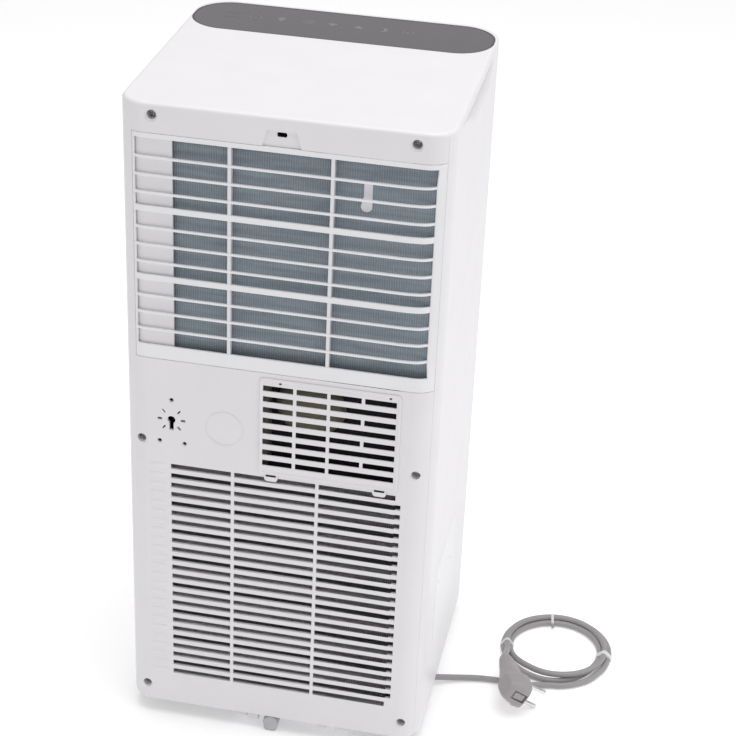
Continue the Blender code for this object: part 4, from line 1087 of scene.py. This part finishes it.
def coil_tie(angle, width):
    """A pale band round the coil's strands. One of the bands has a small knob where it closes."""
    turn = math.radians(angle)
    out, on = Vector((math.cos(turn), math.sin(turn), 0)), Vector((-math.sin(turn), math.cos(turn), 0))
    centre, lead = Vector((*COIL_CENTRE, 0)), LEAD_DIAMETER / 2
    passes = [angle % 360 + 360 * i for i in range(4)]
    passes = [at for at in passes if COIL_TURNS[0] <= at <= COIL_TURNS[1]]
    strands = [(between(COIL_RADII, at), between(COIL_HEIGHTS, at)) for at in passes]
    rings = []
    for gap, floor, share in ((0.0001, 0.00012, -0.5), (0.0007, 0.00007, -0.42), (0.0007, 0.00007, 0.42),
                              (0.0001, 0.00012, 0.5)):
        outline = around(strands, lead + gap, floor)
        rings.append([centre + out * a + on * share * width + Vector((0, 0, b)) for a, b in outline])
    name = f"coil_tie_{angle % 360}"
    tie = piece(name, loft(bmesh.new(), rings), "tie", sharp=50)
    if angle == KNOBBED_TIE:
        knob = [(0.0004, 0), (0.0016, 0.0004), (0.0019, 0.0018), (0.0016, 0.0052), (0.0004, 0.0060)]
        spot = centre + out * (min(strands)[0] - lead - 0.0004) + Vector((0, 0, 0.0042))
        piece(f"tie_knob_{angle % 360}", turned(bmesh.new(), knob, spot, -out, 16), "plug_grey")
    return tie


def plug_frame():
    """A rotation with X along the pins, Y from pin to pin and Z up the boot."""
    boot = PIN_DIRECTION.cross(PIN_LINE).normalized() * -1
    return Matrix((PIN_DIRECTION, boot.cross(PIN_DIRECTION), boot)).transposed()


def squared_circle(power, count):
    """Points of a unit circle that is pressed towards a square, the more so the lower the power."""
    points = []
    for i in range(count):
        a, b = math.cos(math.tau * i / count), math.sin(math.tau * i / count)
        points.append((math.copysign(abs(a) ** power, a), math.copysign(abs(b) ** power, b)))
    return points


def plug_head(turn):
    """A disc at the pins, then a body that narrows to a ridge at the back, cut for the earth clip."""
    rings = []
    for back, across, up in ((0.0042, 0.0146, 0.0150), (0.0048, 0.0154, 0.0158), (0.0062, 0.0158, 0.0162),
                             (0.0120, 0.0158, 0.0162), (0.0134, 0.0150, 0.0156), (0.0190, 0.0138, 0.0150),
                             (0.0245, 0.0122, 0.0138), (0.0275, 0.0104, 0.0122), (0.0288, 0.0080, 0.0096)):
        ring = squared_circle(0.62, 48)
        rings.append([PLUG_FACE + turn @ Vector((-back, across * a, up * b)) for a, b in ring])
    head = piece("plug_head", loft(bmesh.new(), rings), "plug_grey", stands_for=["plug_body"], sharp=40)
    recess = box(bmesh.new(), (-0.0215, -0.0052, -0.0210), (-0.0058, 0.0052, -0.0130))
    clip = box(bmesh.new(), (-0.0198, -0.0036, -0.0150), (-0.0075, 0.0036, -0.0120))
    for vert in (*recess.verts, *clip.verts):
        vert.co = PLUG_FACE + turn @ vert.co
    soften(piece("earth_clip", clip, "plug_grey"), 0.0006)
    return cut(head, recess)


def plug():
    """An angled head, a wide boot that tapers onto the lead, and two round pins."""
    turn = plug_frame()
    start = PLUG_FACE + turn @ Vector((-0.0100, 0, 0))
    rings = []
    for share, across, through, shift in ((0.10, 0.0128, 0.0120, -0.0060), (0.30, 0.0124, 0.0106, -0.0048),
                                          (0.50, 0.0112, 0.0092, -0.0030), (0.70, 0.0094, 0.0080, -0.0014),
                                          (0.90, 0.0076, 0.0068, -0.0004), (1.02, 0.0062, 0.0058, 0),
                                          (1.06, 0.0052, 0.0050, 0)):
        middle = start + turn @ Vector((shift, 0, BOOT_LENGTH * share))
        ring = squared_circle(0.7, 40)
        rings.append([middle + turn @ Vector((through * b, across * a, 0)) for a, b in ring])
    boot = piece("plug_boot", loft(bmesh.new(), rings), "plug_grey", sharp=50)
    pieces = [plug_head(turn), boot]
    for i, side in enumerate((1, -1)):
        place = PLUG_FACE + turn @ Vector((GAP, side * PIN_SPACING / 2, 0))
        pin = [(PIN_RADIUS, -0.0050), (PIN_RADIUS, PIN_LENGTH - 0.0012),
               (PIN_RADIUS - 0.0005, PIN_LENGTH - 0.0003), (0.0010, PIN_LENGTH)]
        mesh = turned(bmesh.new(), pin, place, PIN_DIRECTION, 24)
        pieces.append(piece(f"pin_{i + 1}", mesh, "pin_chrome", stands_for=[f"plug_pin_{i + 1}"]))
    return pieces


# Studio


def studio():
    floor = box(bmesh.new(), (-8, -8, -0.02), (8, 8, 0))
    data = mesh_data("floor", floor)
    look = new_look("floor", (0.93, 0.93, 0.93), 0.7, Emission_Color=(1, 1, 1, 1), Emission_Strength=0.27)
    tint(look, noise(look, 0.5), (0.925, 0.925, 0.93), (0.935, 0.935, 0.935))
    data.materials.append(look)
    ground = add_object("floor", data)
    for name, place, aim, size, power in (
        ("overhead", (-0.3, 0.0, 3.0), (0, 0, 0.4), 2.6, 48),
        ("side", (-2.6, 0.4, 1.4), (0, 0, 0.35), 1.8, 9),
    ):
        data = bpy.data.lights.new(name, "AREA")
        data.size = size
        data.energy = power
        light = add_object(name, data)
        light.location = place
        light.rotation_euler = (Vector(aim) - Vector(place)).to_track_quat("-Z", "Y").to_euler()
    world = bpy.data.worlds.new("studio")
    world.use_nodes = True
    sky = world.node_tree.nodes["Background"]
    sky.inputs["Color"].default_value = (1, 0.985, 1, 1)
    sky.inputs["Strength"].default_value = 0.55
    bpy.context.scene.world = world
    bpy.context.scene.view_settings.view_transform = "Standard"


def camera():
    """The photo's view, solved from the edges of the body."""
    data = bpy.data.cameras.new("camera")
    data.lens = 96.95
    data.sensor_width = 36
    eye = add_object("camera", data)
    right, up = Vector((-0.97881, -0.20137, 0.03723)), Vector((0.12956, -0.46812, 0.87412))
    turn = Matrix((right, up, right.cross(up))).transposed().to_4x4()
    eye.matrix_world = Matrix.Translation((-0.3720, 1.7066, 1.3185)) @ turn
    bpy.context.scene.camera = eye


def dress_cad_nodes(frame):
    """Gives each CAD node that still shows the look of its material slot."""
    slots = {part["node"]: part["material_slot"] for part in frame["record"]["subparts"]}
    for name, thing in frame["nodes"].items():
        thing.data.materials.clear()
        thing.data.materials.append(LOOKS[slots[name]])
        thing.data.set_sharp_from_angle(angle=math.radians(35))


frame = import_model()
make_looks()
dress_cad_nodes(frame)
studio()
camera()
sleeve = gland()
plug_pieces = plug()
ties = [coil_tie(angle, width) for angle, width in TIES.items()]
mains_lead()
body_shell()
grip(1, "grip_right")
grip(-1, "grip_left")
control_panel()
panel_icons()
blank_label()
rear_panel()
blind_ribs()
screws()
filter_frame()
filter_tab()
exhaust_bars()
exhaust_frame()
exhaust_depths()
louver()
fin_block("evaporator", "evaporator_coil", "cold_fins", 9)
fin_block("condenser", "condenser_coil", "fins", 10, 0.0135)
drain_plug()
base_lugs()
for number, (x, y) in enumerate(CASTERS, 1):
    caster_fork(number, x, y)
    caster_wheel(number, x, y)
